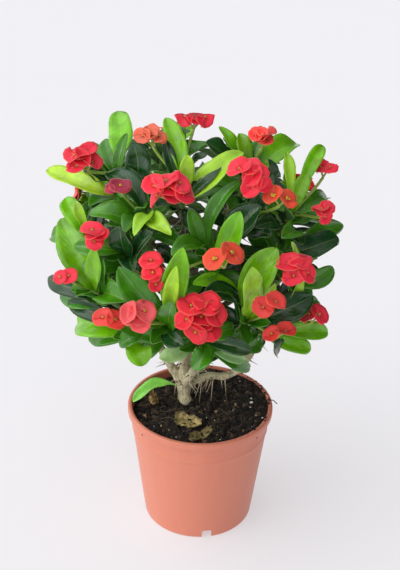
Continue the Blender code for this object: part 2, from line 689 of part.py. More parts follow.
def back_flower_plan(tips):
    """Each back head: name, base, bracts and facing."""
    plan = []
    for i, (number, rise) in enumerate(BACK_HEADS):
        tip = tips[number - 1]
        look = (outward(tip) + vec(0, 0, 0.5)).normalized()
        base = tip + look * rise
        side = look.orthogonal().normalized()
        other = look.cross(side)
        placed = []
        for k in range(5):
            angle = k * math.tau / 5 + i
            offset = side * math.cos(angle) + other * math.sin(angle)
            placed.append((base + offset * 9.0 + look * (5.0 + (k % 2) * 2.0), 7.0 + k % 2))
        plan.append((f"flower_back_{i + 1}", base, placed, look))
    return plan


def peduncle_rings(foot, away, base, facing):
    """A flower stalk from high on a shoot to just under its head."""
    start = foot + away * (SHOOT_LENGTH * 0.8)
    reach = (base - start).length
    arrive = (facing + (base - start).normalized() * 0.8).normalized()
    end = base - arrive * GAP / 2
    route = [bezier((start, start + away * reach * 0.35, end - arrive * reach * 0.35, end), t)
             for t in (0.0, 0.35, 0.7, 1.0)]
    route[-2] = end - arrive * (route[-1] - route[-2]).length
    return tube_rings(route, [PEDUNCLE_RADIUS] * 4, 5), arrive


def make_wood(feet, material, garden):
    """Trunk, limbs and twigs as one woody body."""
    gnarl = ((0, 1.0), (0.35, 1.12), (0.6, 0.95), (0.85, 1.15), (1.0, 0.8))
    trunk_route = [TRUNK_FOOT.lerp(TRUNK_HEAD, s) for s, _ in gnarl]
    trunk_rings = tube_rings(trunk_route, [TRUNK_RADIUS * g for _, g in gnarl], 8)
    forms = [trunk_rings]
    for knots in LIMBS:
        route = limb_route(knots)
        forms.append(tube_rings(route, [LIMB_RADIUS * (1 - 0.3 * i / (len(route) - 1))
                                        for i in range(len(route))], 5, 0.3))
    for foot, away in feet:
        start = twig_start(foot)
        reach = (foot - start).length
        end = foot - away * GAP / 2
        route = [bezier((start, start + vec(0, 0, reach * 0.25), end - away * reach * 0.4, end), t)
                 for t in (0.0, 0.4, 0.8, 1.0)]
        route[-2] = end - away * (route[-1] - route[-2]).length
        forms.append(tube_rings(route, [TWIG_RADIUS, TWIG_RADIUS, TWIG_RADIUS * 0.9,
                                        TWIG_RADIUS * 0.88], 5))
    helpers = []
    for i, rings in enumerate(forms):
        garden.add(Solid(*ring_polygons(rings), "wood"))
        if i:
            helpers.append(swept_object(f"limb_form_{i}", rings, material, helper=True))
    return joined(swept_object("trunk_and_limbs", trunk_rings, material), helpers)


def make_dried_leaf(name, place, heading, length, width, material, surface):
    """A dried leaf lying on the soil, curled along its length."""
    bm = bmesh.new()
    bmesh.ops.create_grid(bm, x_segments=4, y_segments=2, size=0.5)
    bmesh.ops.scale(bm, vec=(length, width, 1.0), verts=bm.verts)
    for vert in bm.verts:
        share = abs(vert.co.x) / (length / 2)
        vert.co.y *= math.sqrt(max(0.08, 1 - 0.9 * share * share))
        vert.co.z = (vert.co.y / width) ** 2 * DRIED_CURL + share * share * 1.5
    under = bm.faces[:]
    made = bmesh.ops.extrude_face_region(bm, geom=under)
    raised = [g for g in made["geom"] if isinstance(g, bmesh.types.BMVert)]
    bmesh.ops.translate(bm, vec=(0, 0, DRIED_THICKNESS), verts=raised)
    bmesh.ops.rotate(bm, matrix=Matrix.Rotation(heading, 3, "Z"), verts=bm.verts)
    bmesh.ops.translate(bm, vec=place, verts=bm.verts)
    bmesh.ops.recalc_face_normals(bm, faces=bm.faces)
    while BVHTree.FromBMesh(bm).overlap(surface):
        bmesh.ops.translate(bm, vec=(0, 0, 0.1), verts=bm.verts)
    bmesh.ops.translate(bm, vec=(0, 0, GAP), verts=bm.verts)
    return finish(name, bm, material)


def make_basal_sprout(material):
    """A young leaf that springs from the trunk's left side and leans over the soil."""
    root = TRUNK_HEAD + vec(-TRUNK_RADIUS - GAP, 3.0, -9.0)
    rings, point = leaf_rings(root, root + vec(-14, 4, 4.0), root + vec(-38, -17.5, -2.5),
                              vec(0.1, -0.2, 1.0).normalized(), SPROUT_WIDTH)
    return swept_object("basal_sprout", rings, material, point)


def make_flowers(flowers, shoots, garden, material):
    """Make every flower head, and give the stalks that each shoot carries."""
    stalks = {name: [] for name, _, _, _ in shoots}
    for name, base, placed, facing in flowers:
        carrier, foot, away, _ = min(
            shoots, key=lambda shoot: (base - shoot[1] - shoot[2] * SHOOT_LENGTH).length)
        rings, arrive = peduncle_rings(foot, away, base, facing)
        stalks[carrier].append(rings)
        garden.add(Solid(*ring_polygons(rings), carrier))
        forms = head_forms(base, arrive, placed, facing)
        add_forms(garden, forms, name)
        parts = [swept_object(f"{name}_form_{k}", r, material, t, helper=True)
                 for k, (r, t) in enumerate(forms[1:])]
        joined(swept_object(name, forms[0][0], material), parts)
    return stalks


def grow_leaves(shoots, garden, rng):
    """Place every leaf, the outermost layer first, and give the forms that each shoot carries."""
    grown = {name: [] for name, _, _, _ in shoots}
    for name, foot, away, _ in shoots:
        garden.add(Solid(*ring_polygons(stem_rings(foot, away)), name))
    for layer in (1, 0, -1, -2):
        for name, foot, away, leaves in shoots:
            for root, leaf in zip(leaf_roots(foot, away, leaves), leaves):
                tip_across, tip_up, base_across, base_up, width, depth = leaf
                if depth != layer:
                    continue
                tip = on_crown(tip_across, tip_up, 2.0 + 9.0 * depth)
                base = on_crown(base_across, base_up, -14.0 + 8.0 * depth)
                form = place_leaf(garden, name, root, base, tip, leaf_face(base, tip), width)
                if form:
                    grown[name].append(form)
                else:
                    print("no room for a leaf of", name, (tip_across, tip_up))
    for name, foot, away, leaves in shoots:
        count = 0 if leaves else BACK_LEAVES
        for root, base, tip, width in rosette(foot, away, count, rng, BACK_LEAF_REACH):
            form = place_leaf(garden, name, root, base, tip, leaf_face(base, tip), width)
            if form:
                grown[name].append(form)
    return grown


def main():
    """Build the whole plant."""
    for obj in list(bpy.data.objects):
        bpy.data.objects.remove(obj, do_unlink=True)
    clay = plastic("terracotta plastic", (0.72, 0.25, 0.16), 0.5)
    peat = plastic("potting soil", (0.02, 0.016, 0.013), 0.95)
    bark = plastic("euphorbia bark", (0.44, 0.36, 0.20), 0.8)
    leaf = plastic("euphorbia leaf", (0.08, 0.28, 0.03), 0.4)
    husk = plastic("dried leaf", (0.42, 0.29, 0.10), 0.8)
    bract = plastic("euphorbia bract", (0.85, 0.02, 0.05), 0.5)
    make_pot(clay)
    surface = make_soil(peat)
    for name, place, heading, length, width in DRIED_LEAVES:
        make_dried_leaf(name, place, heading, length, width, husk, surface)
    make_basal_sprout(leaf)

    garden = Garden()
    back_tips = back_shoots()
    shoots = [(name, *shoot_axis(on_crown(*tip)), leaves) for name, tip, leaves in FRONT_SHOOTS]
    shoots += [(f"shoot_back_{i + 1}", *shoot_axis(tip), ()) for i, tip in enumerate(back_tips)]
    make_wood([(foot, away) for _, foot, away, _ in shoots], bark, garden)
    flowers = front_flower_plan() + back_flower_plan(back_tips)
    stalks = make_flowers(flowers, shoots, garden, bract)
    grown = grow_leaves(shoots, garden, random.Random(17))
    for name, foot, away, _ in shoots:
        helpers = [swept_object(f"{name}_stalk_{k}", rings, leaf, helper=True)
                   for k, rings in enumerate(stalks[name])]
        helpers += [swept_object(f"{name}_leaf_{k}", rings, leaf, tip, helper=True)
                    for k, (rings, tip) in enumerate(grown[name])]
        joined(swept_object(name, stem_rings(foot, away), leaf), helpers)


main()
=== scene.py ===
"""Fine model of a crown-of-thorns euphorbia (Euphorbia milii) in a 13 cm nursery pot.

The frame gives the plain solids and their sizes. Every one of them is replaced here by a modelled
piece: a moulded pot, granular soil, spiny wood, curved waxy leaves and stalked red bracts.
Sizes inside the layout are in millimetres, and become metres where a mesh is finished.
"""
import functools
import math
import random

import bmesh
import bpy
from bpy.props import FloatProperty, FloatVectorProperty, IntProperty, PointerProperty
from mathutils import Matrix, Vector, noise
from mathutils.bvhtree import BVHTree


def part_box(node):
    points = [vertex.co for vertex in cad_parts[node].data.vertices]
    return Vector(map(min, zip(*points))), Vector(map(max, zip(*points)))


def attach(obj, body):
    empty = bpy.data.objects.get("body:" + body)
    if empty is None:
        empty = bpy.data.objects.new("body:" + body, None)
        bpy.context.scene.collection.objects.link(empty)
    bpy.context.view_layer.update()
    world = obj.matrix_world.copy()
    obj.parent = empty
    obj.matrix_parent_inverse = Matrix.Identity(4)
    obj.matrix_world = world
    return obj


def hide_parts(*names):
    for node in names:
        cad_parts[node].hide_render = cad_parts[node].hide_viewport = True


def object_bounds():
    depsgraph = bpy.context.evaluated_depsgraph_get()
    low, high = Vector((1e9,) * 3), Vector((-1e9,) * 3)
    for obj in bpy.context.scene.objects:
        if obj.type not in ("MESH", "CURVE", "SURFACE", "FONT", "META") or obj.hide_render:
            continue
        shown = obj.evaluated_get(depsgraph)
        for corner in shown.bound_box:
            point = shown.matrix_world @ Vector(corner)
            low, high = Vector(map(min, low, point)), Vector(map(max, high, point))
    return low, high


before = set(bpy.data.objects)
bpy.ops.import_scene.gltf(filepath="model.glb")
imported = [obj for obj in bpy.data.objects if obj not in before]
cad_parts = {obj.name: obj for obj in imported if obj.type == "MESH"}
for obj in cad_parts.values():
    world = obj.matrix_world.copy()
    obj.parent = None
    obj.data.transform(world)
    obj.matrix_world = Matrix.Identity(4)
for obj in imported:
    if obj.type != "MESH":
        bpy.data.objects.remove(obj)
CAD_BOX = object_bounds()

bl_info = {
    "name": "Potted Euphorbia",
    "version": (1, 0, 0),
    "blender": (4, 5, 0),
    "location": "View3D > Sidebar > Euphorbia",
    "description": "Models a crown-of-thorns euphorbia in a nursery pot",
    "category": "Add Mesh",
}

MM = 0.001
GAP = 0.3
GOLDEN_ANGLE = math.radians(137.5)
UV_NAME = "UVMap"
TONE_NAME = "tone"

POT_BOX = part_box("pot")
POT_HEIGHT = POT_BOX[1].z / MM
RIM_RADIUS = POT_BOX[1].x / MM

# Pot.
BASE_RADIUS = 49.8
WALL = 1.6
LIP_HEIGHT = 6.5
LIP_OUT = 2.4
RIDGE_BELOW_RIM = 22.0
FLOOR_DISC_RADIUS = 30.0
CHANNEL_HEIGHT = 7.6
NOTCH_COUNT = 4
NOTCH_WIDTH = 9.0
NOTCH_HEIGHT = 8.0
NOTCH_FIRST_ANGLE = math.radians(-80.0)
HANGER_HOLE_HEIGHT = 101.5
HANGER_HOLE_ANGLE = math.radians(54.0)

# Soil.
SOIL_LEVEL = 106.0
SOIL_EDGE_LEVEL = 103.5
SOIL_BOTTOM = 9.4
SOIL_RADIUS = 60.3
SOIL_RINGS = 60
SOIL_SEGMENTS = 180
FIBRE_REACH = 57.0
STRAY_TWIG = ((54, 6, SOIL_LEVEL + 4.0), (60, 3, POT_HEIGHT + 0.6), (65, 2, POT_HEIGHT + 2.5),
              (69, -1, POT_HEIGHT + 0.5))


# Dried leaves: frame node, heading, length, half width, how far the sides curl up, colour.
DRIED_LEAVES = (("dried_leaf_front", -0.35, 25.0, 7.5, 6.0, "#AB9660"),
                ("dried_leaf_left", 1.57, 15.0, 4.5, 9.0, "#CDA870"),
                ("dried_leaf_rim", 0.62, 24.0, 4.0, 5.0, "#938353"))

# Wood.
TRUNK_FOOT = Vector((-15.0, 13.0, 88.0))
TRUNK_HEAD = Vector((-15.0, 12.0, 128.0))
TRUNK_RADIUS = 6.4
LIMB_RADIUS = 4.6
TWIG_RADIUS = 3.0
KNOB_PLACE = Vector((-13.5, 7.5, 109.5))
KNOB_RADIUS = 6.0
HANGING_SPINES = 15
VOXEL = 1.1
LIMBS = (
    ((-26, 10, 142), (-34, 8, 160), (-58, 4, 198)),
    ((5, 10, 134), (26, 8, 138), (45, 5, 165), (60, 2, 205)),
    ((-12, 28, 150), (-10, 44, 190), (-8, 56, 235)),
    ((-15, 4, 160), (-9, 0, 215), (-6, 2, 280)),
    ((-9, -10, 148), (-2, -36, 178), (0, -52, 215)),
    ((12, 34, 150), (38, 52, 195), (50, 56, 245)),
    ((-38, 34, 150), (-56, 48, 195), (-66, 50, 245)),
)

# Basal sprout: it springs from the trunk's left side. Its blade is given from its root.
SPROUT_WIDTH = 13.0
SPROUT_ROOT = TRUNK_HEAD + Vector((-TRUNK_RADIUS, 3.0, -9.0))
SPROUT_BASE = SPROUT_ROOT + Vector((-17.0, 3.0, 6.0))
SPROUT_TIP = SPROUT_ROOT + Vector((-40.0, -20.0, -3.5))
SPROUT_FACE = Vector((0.1, -0.2, 1.0)).normalized()

# Shoots and leaves. Grid rows crowd toward a leaf's tip by the power ROWS_TO_TIP.
SHOOT_LENGTH = 30.0
SHOOT_RADIUS = 2.4
LEAF_THICKNESS = 0.5
LEAF_ARCH = 0.10
WIDEST = 0.70
PETIOLE_SHARE = 0.10
LEAF_COLUMNS = 6
LEAF_ROWS = 14
ROWS_TO_TIP = 1.45
BLADE_FILL = 1.10

# Flower heads. Bract pairs are drawn in to CLUSTER_SHARE of their distance from the middle.
PEDUNCLE_RADIUS = 1.2
STALKLET_RADIUS = 0.8
BRACT_THICKNESS = 0.35
BRACT_SPREAD = 1.12
BRACT_HALF_ANGLE = math.radians(104.0)
BRACT_COLUMNS = 8
BRACT_ROWS = 4
CLUSTER_SHARE = 0.84
BRACT_LIFT = 4.0
HEAD_DEPTH = 3.5

# The crown is close to a ball. Its shown side is laid out on a sheet that stands square to a
# sightline falling on the plant from the front. Across runs to the right on the sheet, up runs
# up it, and a place's lift is how far it stands toward the viewer from the crown's outer skin.
CROWN_CENTRE = Vector((-8.0, 0.0, 270.0))
CROWN_RADII = Vector((120.0, 118.0, 112.0))
CROWN_CORE = Vector((-8.0, 4.0, 205.0))
SIGHT_FALL = math.radians(26.8)
SHEET_LEAN = math.radians(1.41)
SIGHT_AIM = Vector((-2.9, 0.0, 230.7))
SIGHT_DISTANCE = 801.0
SHEET_DISTANCE = 741.0
LENS_MM = 60.0
SENSOR_MM = 36.0

SIGHT = Vector((0.0, math.cos(SIGHT_FALL), -math.sin(SIGHT_FALL)))
SHEET_FLAT_UP = Vector((0.0, math.sin(SIGHT_FALL), math.cos(SIGHT_FALL)))
SHEET_RIGHT = (Vector((1.0, 0.0, 0.0)) * math.cos(SHEET_LEAN)
               + SHEET_FLAT_UP * math.sin(SHEET_LEAN))
SHEET_UP = (SHEET_FLAT_UP * math.cos(SHEET_LEAN)
            - Vector((1.0, 0.0, 0.0)) * math.sin(SHEET_LEAN))
VIEWPOINT = SIGHT_AIM - SIGHT * SIGHT_DISTANCE

# Leaf greens, by tone: b bright, y young, m middle, d dark, p pale, s the basal sprout. The middle
# and dark greens are darker copies of the bright one for leaves inside and behind the crown:
# partly painted shade, partly the darker green of older leaves.
LEAF_TONES = {"b": "#72B40C", "y": "#A0D02C", "m": "#3F8210", "d": "#164218", "p": "#A9CF8C",
              "s": "#93DC5C"}

# Front shoots: name, tip (across, up, lift), then leaves as
# (tip across, tip up, base across, base up, width, layer, tone). Layer 0 lies in the skin.
FRONT_SHOOTS = (
    ("shoot_front_centre_right", (38, -28, -34), (
        (41, 14, 40, -20, 16, 0, "y"), (59, 30, 35, 0, 22, -1, "b"),
        (90, -7, 50, -28, 20, -1, "d"), (8, -47, 30, -36, 13, 0, "m"),
        (2, -6, 30, 0, 15, -1, "d"), (-6, 0, 25, 8, 12, -2, "b"), (60, 0, 42, -22, 9, -1, "y"))),
    ("shoot_front_centre_left", (-26, -30, -34), (
        (-22, 34, -25, -14, 18, 0, "b"), (-19, 14, -23, -16, 10, 1, "y"),
        (-20, -12, -26, -32, 15, 0, "m"), (-63, 14, -38, -18, 20, -1, "m"),
        (-68, -22, -37, -45, 13, -1, "m"), (-14, -47, -30, -38, 14, 0, "d"))),
    ("shoot_left_low", (-82, -5, -34), (
        (-111, 54, -83, 0, 22, 0, "b"), (-83, 30, -81, 2, 12, 0, "b"),
        (-74, 20, -73, -1, 7, -1, "m"), (-56, -14, -80, -2, 18, -1, "m"),
        (-122, 7, -90, -8, 14, 0, "d"), (-115, -5, -80, -20, 14, 0, "m"))),
    ("shoot_left_upper", (-90, 42, -36), (
        (-107, 70, -92, 46, 14, 0, "b"), (-97, 66, -88, 46, 8, 0, "y"),
        (-118, 40, -94, 38, 14, -1, "m"), (-112, 22, -92, 36, 15, -1, "m"))),
    ("shoot_upper_left", (-47, 56, -36), (
        (-88, 58, -52, 54, 16, 0, "m"), (-76, 90, -40, 72, 18, -1, "d"),
        (-52, 40, -33, 62, 11, 0, "y"), (-60, 42, -46, 58, 14, -1, "m"),
        (-24, 40, -45, 57, 12, 0, "y"))),
    ("shoot_top_left", (-65, 86, -36), (
        (-66, 133, -57, 105, 18, 0, "b"), (-57, 120, -67, 90, 8, 0, "m"),
        (-76, 116, -70, 93, 12, 0, "m"), (-120, 87, -78, 68, 16, 0, "y"),
        (-53, 110, -42, 82, 18, -1, "d"), (-92, 112, -74, 92, 13, -1, "m"))),
    ("shoot_top_centre", (-15, 80, -36), (
        (-27, 131, -10, 92, 13, 0, "b"), (-17, 132, -14, 112, 9, 0, "m"),
        (-17, 101, -14, 82, 11, 0, "y"), (34, 104, -2, 72, 18, 0, "y"),
        (18, 97, -8, 72, 14, -1, "d"), (-28, 113, -22, 88, 9, -1, "d"))),
    ("shoot_top_right", (38, 92, -36), (
        (14, 123, 26, 106, 8, 0, "b"), (32, 119, 36, 99, 11, 0, "b"),
        (78, 117, 48, 94, 20, 0, "b"), (4, 112, 26, 98, 15, -1, "d"),
        (52, 98, 60, 76, 10, -1, "d"), (56, 128, 46, 104, 12, -1, "m"))),
    ("shoot_right_upper", (72, 56, -36), (
        (68, 106, 70, 72, 9, 0, "y"), (97, 110, 82, 90, 11, 0, "b"),
        (84, 89, 74, 66, 11, 0, "b"), (64, 36, 84, 46, 14, 0, "m"),
        (109, 62, 84, 58, 12, -1, "m"), (104, 76, 82, 62, 13, -1, "m"),
        (46, 56, 66, 56, 13, -1, "d"))),
    ("shoot_centre_upper", (10, 20, -38), (
        (31, 58, 21, 25, 16, 0, "b"), (48, 62, 30, 46, 20, -1, "d"), (32, 81, 0, 58, 11, -1, "m"),
        (-22, 28, 2, 42, 13, 0, "m"), (-8, 58, -2, 38, 12, -1, "m"))),
    ("shoot_right_middle", (65, 25, -36), (
        (108, 34, 74, 24, 19, 0, "d"), (106, 14, 86, -8, 14, 0, "m"), (74, 34, 78, 14, 8, 0, "y"),
        (112, 50, 80, 34, 14, -1, "m"), (42, 22, 60, 22, 13, -1, "d"))),
    ("shoot_right_low", (60, -35, -34), (
        (104, -36, 75, -35, 14, 0, "b"), (88, -50, 66, -46, 13, 0, "b"),
        (84, 0, 70, -24, 10, -1, "y"), (60, -56, 56, -40, 12, 0, "d"),
        (34, -52, 52, -44, 11, -1, "m"), (100, -8, 76, -22, 14, -1, "m"))),
    ("shoot_bottom_left", (-50, -38, -34), (
        (-100, -27, -70, -30, 23, 0, "b"), (-86, -42, -62, -38, 13, -1, "m"),
        (-66, -48, -40, -34, 13, 0, "m"), (-43, -62, -53, -42, 18, 0, "b"),
        (-104, -12, -74, -24, 14, -1, "d"))),
    ("shoot_bottom_centre", (0, -44, -32), (
        (-8, -64, 12, -50, 15, 0, "m"), (42, -66, 20, -60, 10, 0, "m"),
        (36, -59, 20, -54, 10, -1, "p"), (40, -52, 18, -44, 12, 1, "d"),
        (-32, -57, -12, -52, 12, -1, "p"))),
    ("shoot_inner_left", (-58, 26, -46), (
        (-62, 46, -60, 24, 18, 0, "d"), (-40, 42, -52, 22, 16, 0, "d"),
        (-96, 14, -66, 16, 15, -1, "m"), (-100, 30, -66, 26, 14, -1, "m"),
        (-50, 6, -56, 22, 13, -1, "d"))),
    ("shoot_inner_right", (36, 50, -48), (
        (54, 44, 38, 48, 14, -1, "d"), (16, 48, 34, 50, 13, -1, "d"),
        (20, 70, 34, 52, 13, -1, "m"), (58, 86, 42, 60, 15, -1, "d"))),
)

# Front flower heads: name, head base (across, up, lift), facing, bract tone, then bract pairs as
# (across, up, radius).
UP = Vector((-0.05, -0.50, 0.85))
OUT = Vector((0.0, -0.75, 0.65))
FRONT = Vector((0.0, -1.0, 0.05))
# The deep tone is a darker copy of the red, the colour of the bracts' shaded parts: painted shade
# on the heads that carry it.
BRACT_TONES = {"red": "#F01C3C", "deep": "#E80C2C", "coral": "#F03C34", "orange": "#EC4A26",
               "pink": "#F2555A", "salmon": "#E86A4C", "dusky": "#A5143C"}
FRONT_FLOWERS = (
    ("flower_top", (-5, 122, 0), FRONT, "red", ((-13, 131, 7), (-4, 134, 7), (5, 130, 7))),
    ("flower_top_left_edge", (-88, 90, 6), OUT, "red", (
        (-98, 101, 8), (-88, 103, 8), (-96, 91, 7), (-82, 94, 7))),
    ("flower_top_left_aged", (-37, 109, 0), UP, "salmon", (
        (-45, 115, 6), (-38, 118, 6), (-31, 115, 6))),
    ("flower_upper_left_large", (-21, 66, 8), OUT, "red", (
        (-37, 77, 8), (-27, 81, 8), (-14, 79, 8), (-34, 68, 8), (-23, 71, 9), (-10, 71, 8))),
    ("flower_upper_left_shaded", (-61, 72, -8), OUT, "dusky", ((-61, 77, 7), (-70, 74, 4))),
    ("flower_left", (-80, 34, 2), OUT, "red", ((-84, 43, 7), (-77, 40, 6), (-82, 33, 6))),
    ("flower_top_right", (48, 107, 2), UP, "coral", ((43, 115, 6), (52, 118, 7), (50, 111, 6))),
    ("flower_upper_right", (38, 82, 6), OUT, "red", (
        (29, 91, 8), (38, 92, 8), (46, 84, 8), (40, 77, 8), (50, 77, 6))),
    ("flower_right_orange", (62, 62, 6), OUT, "orange", ((56, 69, 7), (68, 66, 7))),
    ("flower_right_edge_high", (96, 84, 2), OUT, "red", ((93, 91, 6), (101, 91, 6))),
    ("flower_right_edge", (95, 53, 4), OUT, "red", ((93, 59, 6), (99, 60, 6), (97, 52, 5))),
    ("flower_left_edge", (-99, 2, 0), OUT, "red", ((-101, 7, 6), (-109, 6, 5))),
    ("flower_lower_left_coral", (-70, -30, 4), OUT, "coral", ((-76, -25, 7), (-65, -27, 7))),
    ("flower_lower_left", (-47, -29, 6), OUT, "pink", (
        (-55, -22, 8), (-42, -20, 8), (-46, -30, 7))),
    ("flower_centre_left", (-35, 4, -4), OUT, "deep", ((-38, 20, 7), (-37, 9, 7), (-34, -1, 5))),
    ("flower_centre_orange", (19, 14, 6), OUT, "orange", ((11, 19, 8), (26, 25, 8))),
    ("flower_right_middle", (75, 6, 6), OUT, "red", (
        (68, 17, 8), (78, 19, 8), (72, 6, 7), (84, 9, 7))),
    ("flower_centre_low_large", (2, -32, 8), OUT, "deep", (
        (-8, -15, 9), (6, -13, 9), (13, -22, 8), (-12, -27, 8), (2, -26, 9), (-4, -38, 8),
        (9, -36, 8))),
    ("flower_low_right_coral", (53, -22, 4), OUT, "coral", ((48, -18, 7), (59, -13, 7))),
    ("flower_low_right_pair", (61, -41, 4), OUT, "coral", ((55, -38, 6), (67, -36, 7))),
    ("flower_right_edge_low", (88, -29, 2), OUT, "red", ((84, -23, 7), (93, -23, 7))),
)

# Leaves grown by rule keep inside this oval on the sheet.
OUTLINE_CENTRE = (-5.0, 34.0)
OUTLINE_RADII = (110.0, 94.0)
OUTLINE_BOTTOM = -52.0

# Back and side shoots are spread evenly over the rest of the ball.
BALL_POINTS = 21
BACK_LIMIT = 0.30
FRONT_SPACING = 38.0
LIMB_CLEARANCE = 8.0
BACK_LEAVES = 16
FRONT_FILL_LEAVES = 10
# Back flower heads: the number of the back shoot, and how far the head stands past its tip.
BACK_HEADS = ((3, 24.0), (6, 24.0), (8, 24.0), (5, 14.0), (4, 14.0))
BACK_TONES = ("red", "deep", "red", "coral", "red")
INNER_POINTS = 900

# Stage: the room's bright side, seen from the plant, and how many degrees wide its light is.
WINDOW_SIDE = Vector((-0.88, -0.36, 0.55))
KEY_SOFTNESS = 50.0
SEEN_WALL = (0.913, 0.896, 0.921, 1.0)
FLOOR_HALF_WIDTH = 6.0

# ------------------------------------------------------------------------------- geometry tools

def vec(*numbers):
    """A vector of plain numbers."""
    return Vector(numbers)


def sheet_ray(across, up):
    """The direction from the viewpoint through a place on the sheet."""
    return (SIGHT * SHEET_DISTANCE + SHEET_RIGHT * across + SHEET_UP * up).normalized()


def on_crown(across, up, lift=0.0):
    """A place on the crown's near skin, or beside it at the skin's outline, moved by lift."""
    ray = sheet_ray(across, up)
    squeezed_ray = vec(*(r / s for r, s in zip(ray, CROWN_RADII)))
    squeezed_eye = vec(*(e / s for e, s in zip(VIEWPOINT - CROWN_CENTRE, CROWN_RADII)))
    a = squeezed_ray.length_squared
    b = squeezed_ray.dot(squeezed_eye)
    c = squeezed_eye.length_squared - 1.0
    root = max(0.0, b * b - a * c)
    return VIEWPOINT + ray * ((-b - math.sqrt(root)) / a - lift)


def outward(place):
    """The crown's outward direction at a place."""
    offset = place - CROWN_CENTRE
    return vec(*(o / (s * s) for o, s in zip(offset, CROWN_RADII))).normalized()


def bezier(points, t):
    """A point on the Bezier curve through a list of control points."""
    points = list(points)
    while len(points) > 1:
        points = [a.lerp(b, t) for a, b in zip(points, points[1:])]
    return points[0]


def smooth_route(knots, count):
    """Count points along a Catmull-Rom curve through the knots."""
    knots = [Vector(k) for k in knots]
    padded = [knots[0] * 2 - knots[1]] + knots + [knots[-1] * 2 - knots[-2]]
    spans = len(knots) - 1
    route = []
    for i in range(count):
        place = i / (count - 1) * spans
        span = min(int(place), spans - 1)
        t = place - span
        p0, p1, p2, p3 = padded[span:span + 4]
        route.append(0.5 * (p1 * 2 + (p2 - p0) * t + (p0 * 2 - p1 * 5 + p2 * 4 - p3) * t * t
                            + (p1 * 3 - p0 - p2 * 3 + p3) * t * t * t))
    return route


def tube_rings(route, radii, sides, spin=0.0):
    """Rings of points round a route, kept from twisting."""
    rings = []
    side = None
    for i, (centre, radius) in enumerate(zip(route, radii)):
        ahead = (route[min(i + 1, len(route) - 1)] - route[max(i - 1, 0)]).normalized()
        if side is None:
            side = ahead.orthogonal().normalized()
        side = (side - ahead * side.dot(ahead)).normalized()
        other = ahead.cross(side)
        rings.append([centre + (side * math.cos(spin + k * math.tau / sides)
                                + other * math.sin(spin + k * math.tau / sides)) * radius
                      for k in range(sides)])
    return rings


def ring_polygons(rings, tip=None):
    """Vertices and polygons of a swept form, for clearance tests."""
    sides = len(rings[0])
    verts = [p for ring in rings for p in ring]
    polys = []
    for r in range(len(rings) - 1):
        for k in range(sides):
            n = (k + 1) % sides
            polys.append((r * sides + k, r * sides + n, (r + 1) * sides + n, (r + 1) * sides + k))
    polys.append(tuple(range(sides)))
    last = (len(rings) - 1) * sides
    if tip is None:
        polys.append(tuple(range(last, last + sides)))
    else:
        verts.append(tip)
        polys.extend((last + k, last + (k + 1) % sides, len(verts) - 1) for k in range(sides))
    return verts, polys


class Solid:
    """A placed form's test surface with a bounding ball."""

    def __init__(self, verts, polys, owner):
        self.tree = BVHTree.FromPolygons(verts, polys)
        low = [min(v[i] for v in verts) for i in range(3)]
        high = [max(v[i] for v in verts) for i in range(3)]
        self.centre = (Vector(low) + Vector(high)) / 2
        self.radius = (Vector(high) - Vector(low)).length / 2
        self.owner = owner
        self.outer = self

    def meets(self, other):
        if (self.centre - other.centre).length > self.radius + other.radius:
            return False
        return bool(self.tree.overlap(other.tree))


class Garden:
    """All the forms placed so far."""

    def __init__(self):
        self.solids = []

    def add(self, solid, outer=None):
        self.solids.append(solid)
        solid.outer = outer or solid

    def clear(self, solid, outer, owner):
        """Whether a form clears the others, and its outer part clears its own shoot's."""
        for other in self.solids:
            if other.owner == owner:
                if outer.meets(other.outer):
                    return False
            elif solid.meets(other):
                return False
        return True


# ---------------------------------------------------------------------------------------- leaves

class Leaf:
    """One leaf: where it springs from, where its blade starts and ends, and which way it looks."""

    def __init__(self, root, base, tip, face, width, tone):
        self.root = root
        self.base = base
        self.tip = tip
        self.face = face
        self.width = width
        self.tone = tone

    def midrib(self, t):
        """A point on the midrib, arched toward the upper side."""
        bend = self.base + self.face * ((self.tip - self.base).length * LEAF_ARCH)
        return bezier((self.root, bend, self.tip), t)

    def section(self, t):
        """The midrib point, side and normal at t."""
        ahead = (self.midrib(min(t + 0.03, 1.0)) - self.midrib(max(t - 0.03, 0.0))).normalized()
        side = ahead.cross(self.face).normalized()
        return self.midrib(t), side, side.cross(ahead)

    def test_forms(self, grow):
        """The clearance form of the whole leaf, and that of its outer part."""
        rings = []
        for t, share in ((0.0, 0.14), (0.4, 0.5), (0.66, 1.0), (0.86, 0.85)):
            centre, side, normal = self.section(t)
            half = self.width / 2 * share + grow
            thick = 0.5 + grow
            rings.append([centre + side * half + normal * thick,
                          centre - side * half + normal * thick, centre - normal * thick])
        point = self.tip + (self.tip - self.base).normalized() * grow
        return ring_polygons(rings, point), ring_polygons(rings[1:], point)


def half_width(t):
    """A spatula leaf's half width along its length, 1 at its widest."""
    if t < WIDEST:
        rise = max(0.0, (t - 0.04) / (WIDEST - 0.04))
        return PETIOLE_SHARE + (1.0 - PETIOLE_SHARE) * math.sin(rise * math.pi / 2) ** 1.7
    fall = (t - WIDEST) / (1.0 - WIDEST)
    return max(0.0, 1.0 - fall ** 2.0) ** 0.68


def leaf_face(base, tip):
    """The way a leaf's upper side looks: up, outward and a little toward the light."""
    ahead = (tip - base).normalized()
    wish = vec(0, 0, 0.8) + outward(tip) * 0.9 - SIGHT * 0.35
    face = wish - ahead * wish.dot(ahead)
    if face.length < 0.15:
        face = vec(0, 0, 1.0) - ahead * ahead.z
    return face.normalized()


